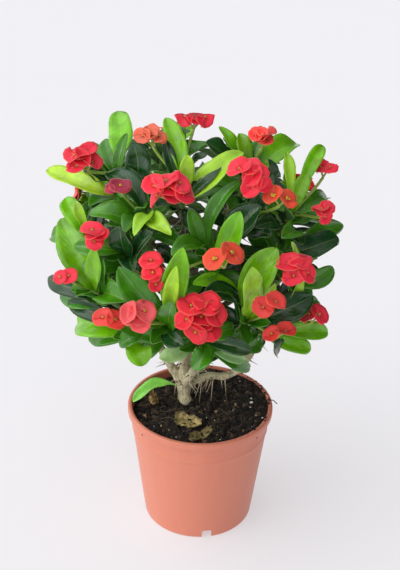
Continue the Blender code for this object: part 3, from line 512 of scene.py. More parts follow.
def inside_outline(place):
    """Whether a place in millimetres shows inside the crown's outline, and is inside the box."""
    offset = place - VIEWPOINT
    reach = SHEET_DISTANCE / offset.dot(SIGHT)
    across = offset.dot(SHEET_RIGHT) * reach
    up = offset.dot(SHEET_UP) * reach
    low, high = CAD_BOX
    boxed = all(low[i] / MM + 1.0 < place[i] < high[i] / MM - 1.0 for i in range(3))
    round_share = math.hypot((across - OUTLINE_CENTRE[0]) / OUTLINE_RADII[0],
                             (up - OUTLINE_CENTRE[1]) / OUTLINE_RADII[1])
    return boxed and round_share < 1.0 and up > OUTLINE_BOTTOM


def place_leaf(garden, owner, leaf, slack=1.0):
    """Shift a leaf a little until it clears its neighbours, and return it or None."""
    side = (leaf.tip - leaf.base).cross(leaf.face).normalized()
    trials = [(0, 0, 1.0)]
    for reach in (4, 8, 12, 16, 20):
        reach *= slack
        trials += [(-reach, 0, 1.0), (reach * 0.5, 0, 1.0), (-reach, reach * 0.6, 0.95),
                   (-reach, -reach * 0.6, 0.95), (0, reach * 0.6, 0.95), (0, -reach * 0.6, 0.95)]
    trials += [(-8, 0, 0.8), (0, 6, 0.8), (0, -6, 0.8), (-16, 0, 0.75), (-10, 8, 0.7)]
    for deep, across, share in trials:
        move = leaf.face * deep + side * across
        moved = Leaf(leaf.root, leaf.base + move * 0.4,
                     leaf.base + (leaf.tip - leaf.base) * share + move, leaf.face,
                     leaf.width * share, leaf.tone)
        whole, outer = moved.test_forms(GAP)
        if garden.clear(Solid(*whole, owner), Solid(*outer, owner), owner):
            whole, outer = moved.test_forms(0.0)
            garden.add(Solid(*whole, owner), Solid(*outer, owner))
            return moved
    return None


def shoot_axis(tip):
    """A shoot's foot point and direction, for its tip."""
    away = (tip - CROWN_CORE).normalized()
    away = (away + vec(0, 0, 0.35)).normalized()
    return tip - away * SHOOT_LENGTH, away


def leaf_roots(foot, away, leaves):
    """Points along a shoot's axis for its leaves: evenly apart, in the order of their bases."""
    heights = [(on_crown(leaf[2], leaf[3], -14.0) - foot).dot(away) for leaf in leaves]
    order = sorted(range(len(leaves)), key=lambda i: heights[i])
    step = (SHOOT_LENGTH - 6.0) / max(1, len(leaves) - 1)
    roots = [None] * len(leaves)
    for rank, i in enumerate(order):
        roots[i] = foot + away * (4.0 + rank * step)
    return roots


def rosette(foot, away, count, rng, reach):
    """Leaves of a shoot by rule: a spiral, small at the tip and long lower down."""
    side = away.orthogonal().normalized()
    other = away.cross(side)
    start = rng.uniform(0, math.tau)
    leaves = []
    for i in range(count):
        share = i / max(1, count - 1)
        angle = start + i * GOLDEN_ANGLE
        spread = side * math.cos(angle) + other * math.sin(angle)
        root = foot + away * (SHOOT_LENGTH * (0.97 - 0.80 * share))
        lean = math.radians(30 + 50 * share + rng.uniform(-8, 8))
        heading = away * math.cos(lean) + spread * math.sin(lean)
        heading = (heading + vec(0, 0, 0.12)).normalized()
        length = reach * (0.58 + 0.42 * share) * rng.uniform(0.86, 1.12)
        tip = root + heading * length - vec(0, 0, length * 0.10)
        base = root + heading * (length * 0.32)
        # Lower leaves take darker tones: partly painted shade under the upper leaves, partly their
        # older, darker green.
        tone = rng.choice("bbyym") if share < 0.35 else rng.choice("bmmmdd")
        leaves.append((root, base, tip, length * rng.uniform(0.34, 0.44), tone))
    return leaves


def ball_points(count):
    """Evenly spread directions on a ball, top first."""
    points = []
    for i in range(count):
        z = 1 - (i + 0.5) / count * 1.72
        r = math.sqrt(max(0.0, 1 - z * z))
        points.append(vec(r * math.cos(i * GOLDEN_ANGLE), r * math.sin(i * GOLDEN_ANGLE), z))
    return points


def limb_route(knots, count=7):
    """A limb's smooth route from the trunk's head."""
    return smooth_route([TRUNK_HEAD - vec(0, 0, 6)] + [Vector(k) for k in knots], count)


def crowds_a_limb(tip):
    """Whether a shoot with this tip would run into a limb."""
    foot, away = shoot_axis(tip)
    stem = [foot + away * (SHOOT_LENGTH * k / 4) for k in range(5)]
    return any((place - point).length < LIMB_CLEARANCE
               for knots in LIMBS for place in limb_route(knots, 16) for point in stem)


def back_shoots():
    """Tips for the shoots on the sides and back."""
    tips = []
    front_tips = [on_crown(*tip) for _, tip, _ in FRONT_SHOOTS]
    for direction in ball_points(BALL_POINTS):
        tip = CROWN_CENTRE + vec(*(d * s * 0.74 for d, s in zip(direction, CROWN_RADII)))
        if direction.dot(-SIGHT) > BACK_LIMIT:
            continue
        if min((tip - other).length for other in front_tips) < FRONT_SPACING:
            continue
        if crowds_a_limb(tip):
            continue
        tips.append(tip)
    return tips


def twig_start(foot):
    """The limb point that best carries a shoot whose foot is given."""
    best = None
    for knots in LIMBS:
        for place in limb_route(knots, 16)[6:]:
            rise = foot.z - place.z
            cost = (foot - place).length + max(0.0, 12.0 - rise) * 3.0
            if best is None or cost < best[0]:
                best = (cost, place)
    return best[1]


def twig_route(foot, away, count):
    """A twig's route from its limb to a shoot's foot."""
    start = twig_start(foot)
    reach = (foot - start).length
    knots = (start, start + vec(0, 0, reach * 0.25), foot - away * reach * 0.4, foot)
    return [bezier(knots, i / (count - 1)) for i in range(count)]


def peduncle_route(foot, away, base, facing, count):
    """A flower stalk's route from high on a shoot to its head, and its last direction."""
    start = foot + away * (SHOOT_LENGTH * 0.8)
    reach = (base - start).length
    arrive = (facing + (base - start).normalized() * 0.8).normalized()
    knots = (start, start + away * reach * 0.35, base - arrive * reach * 0.35, base)
    return [bezier(knots, i / (count - 1)) for i in range(count)], arrive


class Head:
    """One flower head: its stalk, and its bract pairs as (place, facing, radius)."""

    def __init__(self, name, base, facing, tone, pairs):
        self.name = name
        self.base = base
        self.facing = facing
        self.tone = tone
        self.pairs = pairs


def head_plan(tips):
    """All flower heads, front and back."""
    heads = []
    for name, head, facing, tone, bracts in FRONT_FLOWERS:
        base = on_crown(*head)
        reach = (base - VIEWPOINT).dot(SIGHT) / SHEET_DISTANCE
        pairs = [(base - SIGHT * BRACT_LIFT + SHEET_RIGHT * (across - head[0]) * reach
                  + SHEET_UP * (up - head[1]) * reach, radius) for across, up, radius in bracts]
        heads.append(Head(name, base, facing.normalized(), tone, pairs))
    for i, (number, rise) in enumerate(BACK_HEADS):
        tip = tips[number - 1]
        look = (outward(tip) + vec(0, 0, 0.5)).normalized()
        base = tip + look * rise
        side = look.orthogonal().normalized()
        other = look.cross(side)
        pairs = []
        for k in range(5):
            angle = k * math.tau / 5 + i
            offset = side * math.cos(angle) + other * math.sin(angle)
            pairs.append((base + offset * 9.0 + look * (5.0 + (k % 2) * 2.0), 7.0 + k % 2))
        heads.append(Head(f"flower_back_{i + 1}", base, look, BACK_TONES[i], pairs))
    return heads


def settle_pairs(head, away):
    """Draw the head's base back behind its bract pairs, gather them, and turn each outward."""
    depth = min((place - head.base).dot(away) for place, _ in head.pairs)
    head.base = head.base - away * max(0.0, HEAD_DEPTH - depth)
    middle = sum((place for place, _ in head.pairs), vec(0, 0, 0)) / len(head.pairs)
    settled = []
    for place, radius in head.pairs:
        look = (head.facing + (place - head.base).normalized() * 0.7).normalized()
        settled.append((middle.lerp(place, CLUSTER_SHARE), look, radius))
    if len(settled) > 2:
        settled.append((middle + head.facing * 1.5, head.facing, settled[0][2] * 0.9))
    head.pairs = settled


@functools.lru_cache(maxsize=1)
def plant_layout():
    """Where every shoot, flower head and leaf is. Each leaf is shifted until it clears the forms
    placed before it.
    """
    rng = random.Random(17)
    garden = Garden()
    tips = back_shoots()
    shoots = [(name, on_crown(*tip), leaves) for name, tip, leaves in FRONT_SHOOTS]
    shoots += [(f"shoot_back_{i + 1}", tip, ()) for i, tip in enumerate(tips)]
    axes = {name: shoot_axis(tip) for name, tip, _ in shoots}
    for knots in LIMBS:
        route = limb_route(knots, 12)
        garden.add(Solid(*ring_polygons(tube_rings(route, [LIMB_RADIUS] * 12, 6)), "wood"))
    for foot, away in axes.values():
        route = twig_route(foot, away, 6)
        garden.add(Solid(*ring_polygons(tube_rings(route, [TWIG_RADIUS] * 6, 6)), "wood"))

    heads = head_plan(tips)
    stalks = {name: [] for name in axes}
    for head in heads:
        nearest = min(axes, key=lambda n: (head.base - axes[n][0]
                                           - axes[n][1] * SHOOT_LENGTH).length)
        settle_pairs(head, peduncle_route(*axes[nearest], head.base, head.facing, 9)[1])
        route = peduncle_route(*axes[nearest], head.base, head.facing, 9)[0]
        stalks[nearest].append(route)
        garden.add(Solid(*ring_polygons(tube_rings(route, [PEDUNCLE_RADIUS] * 9, 5)), nearest))
        for place, look, radius in head.pairs:
            rings = tube_rings([place - look * 1.5, place + look * 2.2], [radius, radius], 8)
            garden.add(Solid(*ring_polygons(rings), head.name))
    for name, (foot, away) in axes.items():
        rings = tube_rings([foot, foot + away * SHOOT_LENGTH], [SHOOT_RADIUS, 1.4], 6)
        garden.add(Solid(*ring_polygons(rings), name))

    grown = {name: [] for name in axes}
    for layer in (1, 0, -1, -2):
        for name, _, leaves in shoots:
            roots = leaf_roots(*axes[name], leaves)
            for root, (ta, tu, ba, bu, width, depth, tone) in zip(roots, leaves):
                if depth != layer:
                    continue
                tip = on_crown(ta, tu, 2.0 + 9.0 * depth)
                base = on_crown(ba, bu, -14.0 + 8.0 * depth)
                leaf = Leaf(root, base, tip, leaf_face(base, tip), width, tone)
                leaf = place_leaf(garden, name, leaf)
                if leaf:
                    grown[name].append(leaf)
    for name, _, leaves in shoots:
        foot, away = axes[name]
        count, reach = (FRONT_FILL_LEAVES, 40.0) if leaves else (BACK_LEAVES, 52.0)
        for root, base, tip, width, tone in rosette(foot, away, count, rng, reach):
            # Fill leaves on the front shoots stand behind the listed leaves, so they get the
            # middle green instead of the bright: painted shade.
            if leaves and tone in "by":
                tone = "m"
            if not inside_outline(tip):
                continue
            leaf = place_leaf(garden, name, Leaf(root, base, tip, leaf_face(base, tip), width,
                                                 tone))
            if leaf:
                grown[name].append(leaf)
    inner = inner_leaves(garden, axes, rng)
    return axes, heads, stalks, grown, inner


def inner_leaves(garden, axes, rng):
    """Older, shaded leaves on short stalks along the limbs and twigs inside the crown."""
    carriers = [p for knots in LIMBS for p in limb_route(knots, 20)[4:]]
    for foot, away in axes.values():
        carriers += twig_route(foot, away, 8)[1:]
    leaves = []
    for i in range(INNER_POINTS):
        z = 1 - (i + 0.5) / INNER_POINTS * 1.98
        r = math.sqrt(max(0.0, 1 - z * z))
        direction = vec(r * math.cos(i * GOLDEN_ANGLE), r * math.sin(i * GOLDEN_ANGLE), z)
        share = rng.uniform(0.45, 0.95)
        tip = CROWN_CENTRE + vec(*(d * s * share for d, s in zip(direction, CROWN_RADII)))
        root = min(carriers, key=lambda p: (p - tip).length + 0.5 * max(0.0, p.z - tip.z + 10))
        reach = (tip - root).length
        if not 14.0 < reach < 75.0 or not inside_outline(tip):
            continue
        blade = min(reach * 0.72, 46.0)
        base = tip + (root - tip) * (blade / reach)
        # Inner leaves are mostly the dark tone: painted shade deep inside the crown, partly their
        # older green.
        leaf = Leaf(root, base, tip, leaf_face(base, tip), blade * rng.uniform(0.38, 0.48),
                    rng.choice("mdddd"))
        leaf = place_leaf(garden, "wood", leaf, 1.3)
        if leaf:
            leaves.append(leaf)
    return leaves


# ---------------------------------------------------------------------------------- mesh helpers

def linear(hex_colour):
    """An sRGB hex colour as linear red, green, blue and full alpha."""
    channels = [int(hex_colour[i:i + 2], 16) / 255 for i in (1, 3, 5)]
    return tuple(c / 12.92 if c <= 0.04045 else ((c + 0.055) / 1.055) ** 2.4
                 for c in channels) + (1.0,)


def hold_in_box(bm):
    """Keep every point, in millimetres, inside the frame's box."""
    low, high = CAD_BOX
    for vert in bm.verts:
        for i in range(3):
            vert.co[i] = min(max(vert.co[i], low[i] / MM), high[i] / MM)


def finish(name, bm, materials, nodes=(), smooth=True):
    """Turn a bmesh in millimetres into a named piece in metres that rides on the pot's body."""
    hold_in_box(bm)
    bmesh.ops.scale(bm, vec=(MM, MM, MM), verts=bm.verts)
    mesh = bpy.data.meshes.new(name)
    bm.to_mesh(mesh)
    bm.free()
    if smooth:
        mesh.shade_smooth()
    for material in materials:
        mesh.materials.append(material)
    piece = bpy.data.objects.new(name, mesh)
    bpy.context.scene.collection.objects.link(piece)
    if nodes:
        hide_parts(*nodes)
    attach(piece, "root")
    return piece


def tone_layer(bm):
    """The bmesh's colour attribute for tones."""
    return bm.verts.layers.float_color.get(TONE_NAME) or bm.verts.layers.float_color.new(TONE_NAME)


def paint(bm, verts, colour):
    """Give vertices a tone."""
    layer = tone_layer(bm)
    for vert in verts:
        vert[layer] = colour


def add_tube(bm, route, radii, sides=8, colour=(1, 1, 1, 1), material=0):
    """A capped tube along a route, extruded ring by ring."""
    rings = tube_rings(route, radii, sides)
    tone_layer(bm)
    made = bmesh.ops.create_circle(bm, cap_ends=True, segments=sides, radius=1.0)
    face = made["verts"][0].link_faces[0]
    first = face
    verts = [loop.vert for loop in face.loops]
    faces = [face]
    for vert, place in zip(verts, rings[0]):
        vert.co = place
    for ring in rings[1:]:
        made = bmesh.ops.extrude_face_region(bm, geom=[face])
        if face is not first:
            bmesh.ops.delete(bm, geom=[face], context="FACES_ONLY")
            faces.remove(face)
        face = next(g for g in made["geom"] if isinstance(g, bmesh.types.BMFace))
        faces.append(face)
        new = [loop.vert for loop in face.loops]
        for vert, place in zip(new, ring):
            vert.co = place
        verts += new
    sides_faces = {f for v in verts for f in v.link_faces}
    for f in sides_faces:
        f.material_index = material
    bmesh.ops.recalc_face_normals(bm, faces=list(sides_faces))
    paint(bm, verts, colour)
    return verts


def add_sheet(bm, columns, rows, rows_power, shape, colour, face, thickness):
    """A thin two-sided sheet: shape(across, along) places its grid, whose rows crowd toward the
    far end by rows_power. Returns its lower points, its upper points and its lower faces."""
    tone_layer(bm)
    uv = bm.loops.layers.uv.get(UV_NAME) or bm.loops.layers.uv.new(UV_NAME)
    verts = bmesh.ops.create_grid(bm, x_segments=columns, y_segments=rows, size=0.5)["verts"]
    faces = list({f for v in verts for f in v.link_faces})
    where = {v: (v.co.x * 2, 1.0 - (0.5 - v.co.y) ** rows_power) for v in verts}
    for sheet_face in faces:
        for loop in sheet_face.loops:
            across, along = where[loop.vert]
            loop[uv].uv = (across / 2 + 0.5, along)
    for vert, (across, along) in where.items():
        vert.co = shape(across, along)
    paint(bm, verts, colour)
    for sheet_face in faces:
        sheet_face.normal_update()
    if sum(f.normal.dot(face) for f in faces) < 0:
        bmesh.ops.reverse_faces(bm, faces=faces)
    made = bmesh.ops.extrude_face_region(bm, geom=faces, use_keep_orig=True)
    top = [g for g in made["geom"] if isinstance(g, bmesh.types.BMVert)]
    for vert in top:
        vert.co += face * thickness
    whole = list({f for v in top + verts for f in v.link_faces})
    bmesh.ops.recalc_face_normals(bm, faces=whole)
    return verts, top, faces


def add_leaf(bm, leaf, rng):
    """A curved, twisted spatula blade with a sunk midrib, a waved margin and a pale underside."""
    length = (leaf.tip - leaf.base).length
    phase = rng.uniform(0, math.tau)
    wave = rng.uniform(0.05, 0.18) * leaf.width
    waves = rng.uniform(9.0, 15.0)
    fold = rng.uniform(0.20, 0.70)
    curl = rng.uniform(-0.16, 0.05) * length
    twist = rng.uniform(-0.5, 0.5)
    skew = rng.uniform(-0.05, 0.05) * length

    def shape(across, t):
        centre, side, normal = leaf.section(t)
        turn = twist * (t - 0.35)
        side, normal = (side * math.cos(turn) + normal * math.sin(turn),
                        normal * math.cos(turn) - side * math.sin(turn))
        half = leaf.width / 2 * BLADE_FILL * half_width(t)
        lift = fold * half * abs(across) ** 1.25
        lift -= 0.10 * half * (1 - abs(across)) ** 3 * math.sin(min(t * 1.3, 1.0) * math.pi)
        lift += wave * math.sin(phase + t * waves + across) * across * across * half_width(t)
        lift += curl * max(0.0, t - 0.45) ** 2 * 3.0
        return centre + side * (half * across + skew * t * t) + normal * lift

    shade = rng.uniform(0.86, 1.14)
    warmth = rng.uniform(0.90, 1.12)
    red, green, blue, alpha = linear(LEAF_TONES[leaf.tone])
    colour = (red * shade * warmth, green * shade, blue * shade / warmth, alpha)
    low, top, faces = add_sheet(bm, LEAF_COLUMNS, LEAF_ROWS, ROWS_TO_TIP, shape, colour,
                                leaf.face, LEAF_THICKNESS)
    for face in faces:
        face.material_index = 1
    bmesh.ops.remove_doubles(bm, verts=top + low, dist=0.02)


# ------------------------------------------------------------------------------------- materials

def fill(tree, node, sockets):
    """Link or set a node's input sockets."""
    for name, value in sockets.items():
        if isinstance(value, bpy.types.NodeSocket):
            tree.links.new(value, node.inputs[name])
        else:
            node.inputs[name].default_value = value


def add_node(tree, kind, sockets=None, **settings):
    """Add a shader node, set its properties, and fill its input sockets."""
    node = tree.nodes.new("ShaderNode" + kind)
    for name, value in settings.items():
        setattr(node, name, value)
    fill(tree, node, sockets or {})
    return node


def new_material(name):
    """An empty node material: its tree, shader and object coordinates."""
    material = bpy.data.materials.new(name)
    material.use_nodes = True
    tree = material.node_tree
    shader = tree.nodes["Principled BSDF"]
    place = add_node(tree, "TexCoord").outputs["Object"]
    return material, tree, shader, place


def moulded_polypropylene(colour, dust):
    """Injection-moulded polypropylene: an even satin skin with faint flow marks and soil dust."""
    material, tree, shader, place = new_material("moulded_polypropylene")
    flow = add_node(tree, "Mapping", {"Vector": place, "Scale": (90, 90, 9)})
    streak = add_node(tree, "TexNoise", {"Vector": flow.outputs["Vector"], "Scale": 1.0,
                                         "Detail": 2.0})
    tint = add_node(tree, "Mix", {0: streak.outputs["Fac"], 6: colour,
                                  7: linear("#D67E66")}, data_type="RGBA")
    height = add_node(tree, "SeparateXYZ", {"Vector": place})
    near_rim = add_node(tree, "MapRange", {"Value": height.outputs["Z"], "From Min": 0.085,
                                           "From Max": 0.113, "To Min": 0.0, "To Max": 0.12})
    grime = add_node(tree, "TexNoise", {"Vector": place, "Scale": 260.0, "Detail": 4.0})
    spots = add_node(tree, "MapRange", {"Value": grime.outputs["Fac"], "From Min": 0.56,
                                        "From Max": 0.70})
    amount = add_node(tree, "Math", {0: spots.outputs["Result"], 1: near_rim.outputs["Result"]},
                      operation="MULTIPLY")
    dusty = add_node(tree, "Mix", {0: amount.outputs["Value"], 6: tint.outputs[2],
                                   7: dust}, data_type="RGBA")
    grain = add_node(tree, "TexNoise", {"Vector": place, "Scale": 1400.0, "Detail": 1.0})
    bump = add_node(tree, "Bump", {"Height": grain.outputs["Fac"], "Strength": 0.06,
                                   "Distance": 0.0002})
    fill(tree, shader, {"Base Color": dusty.outputs[2], "Normal": bump.outputs["Normal"],
                        "Roughness": 0.42, "IOR": 1.49, "Subsurface Weight": 0.06,
                        "Subsurface Radius": (1.0, 0.4, 0.25), "Subsurface Scale": 0.002})
    return material


def peat_mix():
    """Moist peat: nearly black crumbs with browner dry ones, quite without gloss."""
    material, tree, shader, place = new_material("moist_peat_mix")
    coarse = add_node(tree, "TexNoise", {"Vector": place, "Scale": 180.0, "Detail": 6.0})
    tint = add_node(tree, "Mix", {0: coarse.outputs["Fac"], 6: linear("#0E0D0D"),
                                  7: linear("#3F3730")}, data_type="RGBA")
    fine = add_node(tree, "TexVoronoi", {"Vector": place, "Scale": 420.0})
    bump = add_node(tree, "Bump", {"Height": fine.outputs["Distance"], "Strength": 0.9,
                                   "Distance": 0.001})
    fill(tree, shader, {"Base Color": tint.outputs[2], "Normal": bump.outputs["Normal"],
                        "Roughness": 0.92, "Specular IOR Level": 0.25})
    return material


def toned(name, roughness, variation=0.12, grain=300.0, strength=0.2, coat=0.0):
    """A natural matter whose colour is its piece's tone, mottled a little."""
    material, tree, shader, place = new_material(name)
    tone = add_node(tree, "Attribute", attribute_name=TONE_NAME)
    mottle = add_node(tree, "TexNoise", {"Vector": place, "Scale": grain, "Detail": 4.0})
    value = add_node(tree, "MapRange", {"Value": mottle.outputs["Fac"], "From Min": 0.3,
                                        "From Max": 0.7, "To Min": 1.0 - variation,
                                        "To Max": 1.0 + variation})
    tint = add_node(tree, "VectorMath", {0: tone.outputs["Color"]}, operation="SCALE")
    tree.links.new(value.outputs["Result"], tint.inputs["Scale"])
    bump = add_node(tree, "Bump", {"Height": mottle.outputs["Fac"], "Strength": strength,
                                   "Distance": 0.0005})
    fill(tree, shader, {"Base Color": tint.outputs["Vector"], "Normal": bump.outputs["Normal"],
                        "Roughness": roughness, "Coat Weight": coat})
    return material


def waxy_leaf(under=False):
    """A waxy leaf: glossy green with a slightly paler sunk midrib, a thin pale margin, faint side
    veins and cloudy mottling. The underside is paler and duller."""
    name = "leaf_underside" if under else "waxy_leaf"
    material, tree, shader, place = new_material(name)
    tone = add_node(tree, "Attribute", attribute_name=TONE_NAME)
    uv = add_node(tree, "UVMap", uv_map=UV_NAME)
    parts = add_node(tree, "SeparateXYZ", {"Vector": uv.outputs["UV"]})
    centred = add_node(tree, "Math", {0: parts.outputs["X"], 1: 0.5}, operation="SUBTRACT")
    aside = add_node(tree, "Math", {0: centred.outputs["Value"]}, operation="ABSOLUTE")
    rib = add_node(tree, "MapRange", {"Value": aside.outputs["Value"], "From Min": 0.006,
                                      "From Max": 0.035, "To Min": 0.14, "To Max": 0.0})
    margin = add_node(tree, "MapRange", {"Value": aside.outputs["Value"], "From Min": 0.46,
                                         "From Max": 0.50, "To Min": 0.0, "To Max": 0.16})
    lines = add_node(tree, "Math", {0: rib.outputs["Result"], 1: margin.outputs["Result"]},
                     operation="MAXIMUM")
    slant = add_node(tree, "Math", {0: aside.outputs["Value"], 1: -0.55, 2: parts.outputs["Y"]},
                     operation="MULTIPLY_ADD")
    veins = add_node(tree, "Math", {0: slant.outputs["Value"], 1: 85.0}, operation="MULTIPLY")
    ripple = add_node(tree, "Math", {0: veins.outputs["Value"]}, operation="SINE")
    mottle = add_node(tree, "TexNoise", {"Vector": place, "Scale": 110.0, "Detail": 4.0})
    value = add_node(tree, "MapRange", {"Value": mottle.outputs["Fac"], "From Min": 0.3,
                                        "From Max": 0.7, "To Min": 0.78, "To Max": 1.20})
    body = add_node(tree, "VectorMath", {0: tone.outputs["Color"]}, operation="SCALE")
    tree.links.new(value.outputs["Result"], body.inputs["Scale"])
    lined = add_node(tree, "Mix", {0: lines.outputs["Value"], 6: body.outputs["Vector"],
                                   7: linear("#D3E98A")}, data_type="RGBA")
    colour = lined.outputs[2]
    if under:
        washed = add_node(tree, "Mix", {0: 0.42, 6: colour, 7: linear("#A9CF8E")},
                          data_type="RGBA")
        colour = washed.outputs[2]
    fill(tree, shader, {"Base Color": colour})
    bump = add_node(tree, "Bump", {"Height": ripple.outputs["Value"], "Strength": 0.10,
                                   "Distance": 0.0003})
    fill(tree, shader, {"Normal": bump.outputs["Normal"], "Roughness": 0.50 if under else 0.20,
                        "Subsurface Weight": 0.15, "Subsurface Radius": (0.6, 1.0, 0.15),
                        "Subsurface Scale": 0.0015})
    return material


def soft_bract():
    """A bract: thin and velvety, deeper red toward its throat and a little paler at its rim."""
    material, tree, shader, place = new_material("velvety_bract")
    tone = add_node(tree, "Attribute", attribute_name=TONE_NAME)
    uv = add_node(tree, "UVMap", uv_map=UV_NAME)
    parts = add_node(tree, "SeparateXYZ", {"Vector": uv.outputs["UV"]})
    rim = add_node(tree, "MapRange", {"Value": parts.outputs["Y"], "From Min": 0.90,
                                      "From Max": 1.0, "To Min": 0.0, "To Max": 0.45})
    throat = add_node(tree, "MapRange", {"Value": parts.outputs["Y"], "From Min": 0.0,
                                         "From Max": 0.45, "To Min": 0.55, "To Max": 0.0})
    deep = add_node(tree, "Mix", {0: throat.outputs["Result"], 6: tone.outputs["Color"],
                                  7: linear("#B0001A")}, data_type="RGBA")
    pale = add_node(tree, "Mix", {0: rim.outputs["Result"], 6: deep.outputs[2],
                                  7: linear("#FF7A4A")}, data_type="RGBA")
    crease = add_node(tree, "TexNoise", {"Vector": place, "Scale": 500.0, "Detail": 2.0})
    bump = add_node(tree, "Bump", {"Height": crease.outputs["Fac"], "Strength": 0.15,
                                   "Distance": 0.0003})
    fill(tree, shader, {"Base Color": pale.outputs[2], "Normal": bump.outputs["Normal"],
                        "Roughness": 0.55, "Subsurface Weight": 0.15,
                        "Subsurface Radius": (1.0, 0.2, 0.2), "Subsurface Scale": 0.0015,
                        "Sheen Weight": 0.25, "Sheen Roughness": 0.4})
    return material


def euphorbia_bark():
    """Old euphorbia bark: pale, dry and papery, wrinkled along the stem, with browner patches.
    Higher up, the wood is darkened toward a dark grey-green: painted shade where the crown shades
    the upper limbs, partly also the younger wood's own greener colour."""
    material, tree, shader, place = new_material("dry_euphorbia_bark")
    patch = add_node(tree, "TexNoise", {"Vector": place, "Scale": 120.0, "Detail": 6.0})
    tint = add_node(tree, "Mix", {0: patch.outputs["Fac"], 6: linear("#AE9F6C"),
                                  7: linear("#F2EBCB")}, data_type="RGBA")
    # Painted shade: the bark darkens with height toward dark grey-green, where the crown shades
    # the upper limbs.
    height = add_node(tree, "SeparateXYZ", {"Vector": place})
    shaded = add_node(tree, "MapRange", {"Value": height.outputs["Z"], "From Min": 0.145,
                                         "From Max": 0.185, "To Min": 0.0, "To Max": 0.85})
    shade_darkened_bark = add_node(tree, "Mix", {0: shaded.outputs["Result"], 6: tint.outputs[2],
                                  7: linear("#3E3C22")}, data_type="RGBA")
    long_way = add_node(tree, "Mapping", {"Vector": place, "Scale": (1.0, 1.0, 0.35)})
    wrinkle = add_node(tree, "TexNoise", {"Vector": long_way.outputs["Vector"], "Scale": 620.0,
                                          "Detail": 5.0, "Distortion": 1.2})
    dark = add_node(tree, "MapRange", {"Value": wrinkle.outputs["Fac"], "From Min": 0.36,
                                       "From Max": 0.50, "To Min": 0.65, "To Max": 0.0})
    cracked = add_node(tree, "Mix", {0: dark.outputs["Result"], 6: shade_darkened_bark.outputs[2],
                                     7: linear("#5E4C33")}, data_type="RGBA")
    bump = add_node(tree, "Bump", {"Height": wrinkle.outputs["Fac"], "Strength": 0.7,
                                   "Distance": 0.001})
    fill(tree, shader, {"Base Color": cracked.outputs[2], "Normal": bump.outputs["Normal"],
                        "Roughness": 0.8})
    return material


@functools.lru_cache(maxsize=None)
def leaf_materials():
    """The upper and under side of the leaves, and the green stems."""
    return (waxy_leaf(), waxy_leaf(under=True), toned("green_stem_skin", 0.5, coat=0.1))


@functools.lru_cache(maxsize=None)
def flower_materials():
    """Bracts and the small matter inside and under them."""
    return (soft_bract(), toned("cyathium_and_stalk", 0.45, grain=600.0))


# ------------------------------------------------------------------------------------ properties

class EuphorbiaPotSettings(bpy.types.PropertyGroup):
    """The pot's openings and colour."""

    hole_radius: FloatProperty(name="Hanger hole", description="Radius of the two hanger holes",
                               default=1.1 * MM, unit="LENGTH")
    colour: FloatVectorProperty(name="Colour", description="Colour of the plastic",
                                default=linear("#DC876C")[:3], subtype="COLOR", min=0, max=1)


class EuphorbiaPlantSettings(bpy.types.PropertyGroup):
    """How much lies on the soil."""

    crumb_count: IntProperty(name="Crumbs", description="Loose crumbs on the soil", default=2600)
    chip_count: IntProperty(name="Chips", description="Chips of bark on the soil", default=170)
    perlite_count: IntProperty(name="Perlite", description="White perlite grains", default=60)
    fibre_count: IntProperty(name="Fibres", description="Root and peat fibres", default=70)


class EuphorbiaStageSettings(bpy.types.PropertyGroup):
    """Floor and light."""

    floor_colour: FloatVectorProperty(name="Floor", description="Colour of the floor",
                                      default=(0.44, 0.435, 0.445), subtype="COLOR", min=0, max=1)
    key_power: FloatProperty(name="Key light", description="Strength of the soft key light",
                             default=0.8)
    window_level: FloatProperty(name="Window side", description="Glow of the room's bright side",
                                default=1.40)
    table_glow: FloatProperty(name="Table glow", description="Light from under the table's top",
                              default=0.47)
    shade_level: FloatProperty(name="Shade side", description="Glow of the room's shaded side",
                               default=0.03)


# ------------------------------------------------------------------------------------- operators

def pot_profile():
    """The pot's turned section, from the middle of its underside round to its inner floor."""
    under_lip = POT_HEIGHT - LIP_HEIGHT
    neck = RIM_RADIUS - LIP_OUT
    ridge = POT_HEIGHT - RIDGE_BELOW_RIM

    def wall(z):
        return BASE_RADIUS + (neck - BASE_RADIUS) * z / under_lip

    def corner(centre_r, centre_z, radius, start, stop, steps=4):
        angles = [math.radians(start + (stop - start) * k / steps) for k in range(steps + 1)]
        return [(centre_r + radius * math.cos(a), centre_z + radius * math.sin(a))
                for a in angles]

    skirt_inner = BASE_RADIUS - WALL
    profile = [(0.0, 0.0), (FLOOR_DISC_RADIUS - 0.6, 0.0), (FLOOR_DISC_RADIUS, 0.5),
               (FLOOR_DISC_RADIUS + WALL, CHANNEL_HEIGHT), (skirt_inner, CHANNEL_HEIGHT),
               (skirt_inner, 0.3), (skirt_inner + 0.3, 0.0)]
    profile += corner(BASE_RADIUS - 0.8, 0.8, 0.8, -90, 0)
    profile += [(wall(z), z) for z in (10, 25, 40, 55, 70, 85)]
    profile += [(wall(ridge - 1.4), ridge - 1.4), (wall(ridge - 0.7) + 0.25, ridge - 0.7),
                (wall(ridge) + 0.6, ridge), (wall(ridge + 0.7) + 0.35, ridge + 0.7),
                (wall(ridge + 1.6), ridge + 1.6)]
    profile += [(neck - 0.5, under_lip - 1.6), (neck, under_lip - 0.4), (neck + 0.5, under_lip)]
    profile += corner(RIM_RADIUS - 1.0, under_lip + 1.0, 1.0, -90, 0)
    profile += corner(RIM_RADIUS - 1.8, POT_HEIGHT - 1.8, 1.8, 0, 90, 6)
    profile += corner(neck - WALL + 1.4, POT_HEIGHT - 1.4, 1.4, 90, 180)
    profile += [(neck - WALL, POT_HEIGHT - 4.0), (wall(60) - WALL, 60.0),
                (wall(CHANNEL_HEIGHT) - WALL, CHANNEL_HEIGHT + WALL),
                (FLOOR_DISC_RADIUS - 1.0, CHANNEL_HEIGHT + WALL), (FLOOR_DISC_RADIUS - 2.0, WALL),
                (0.0, WALL)]
    return profile


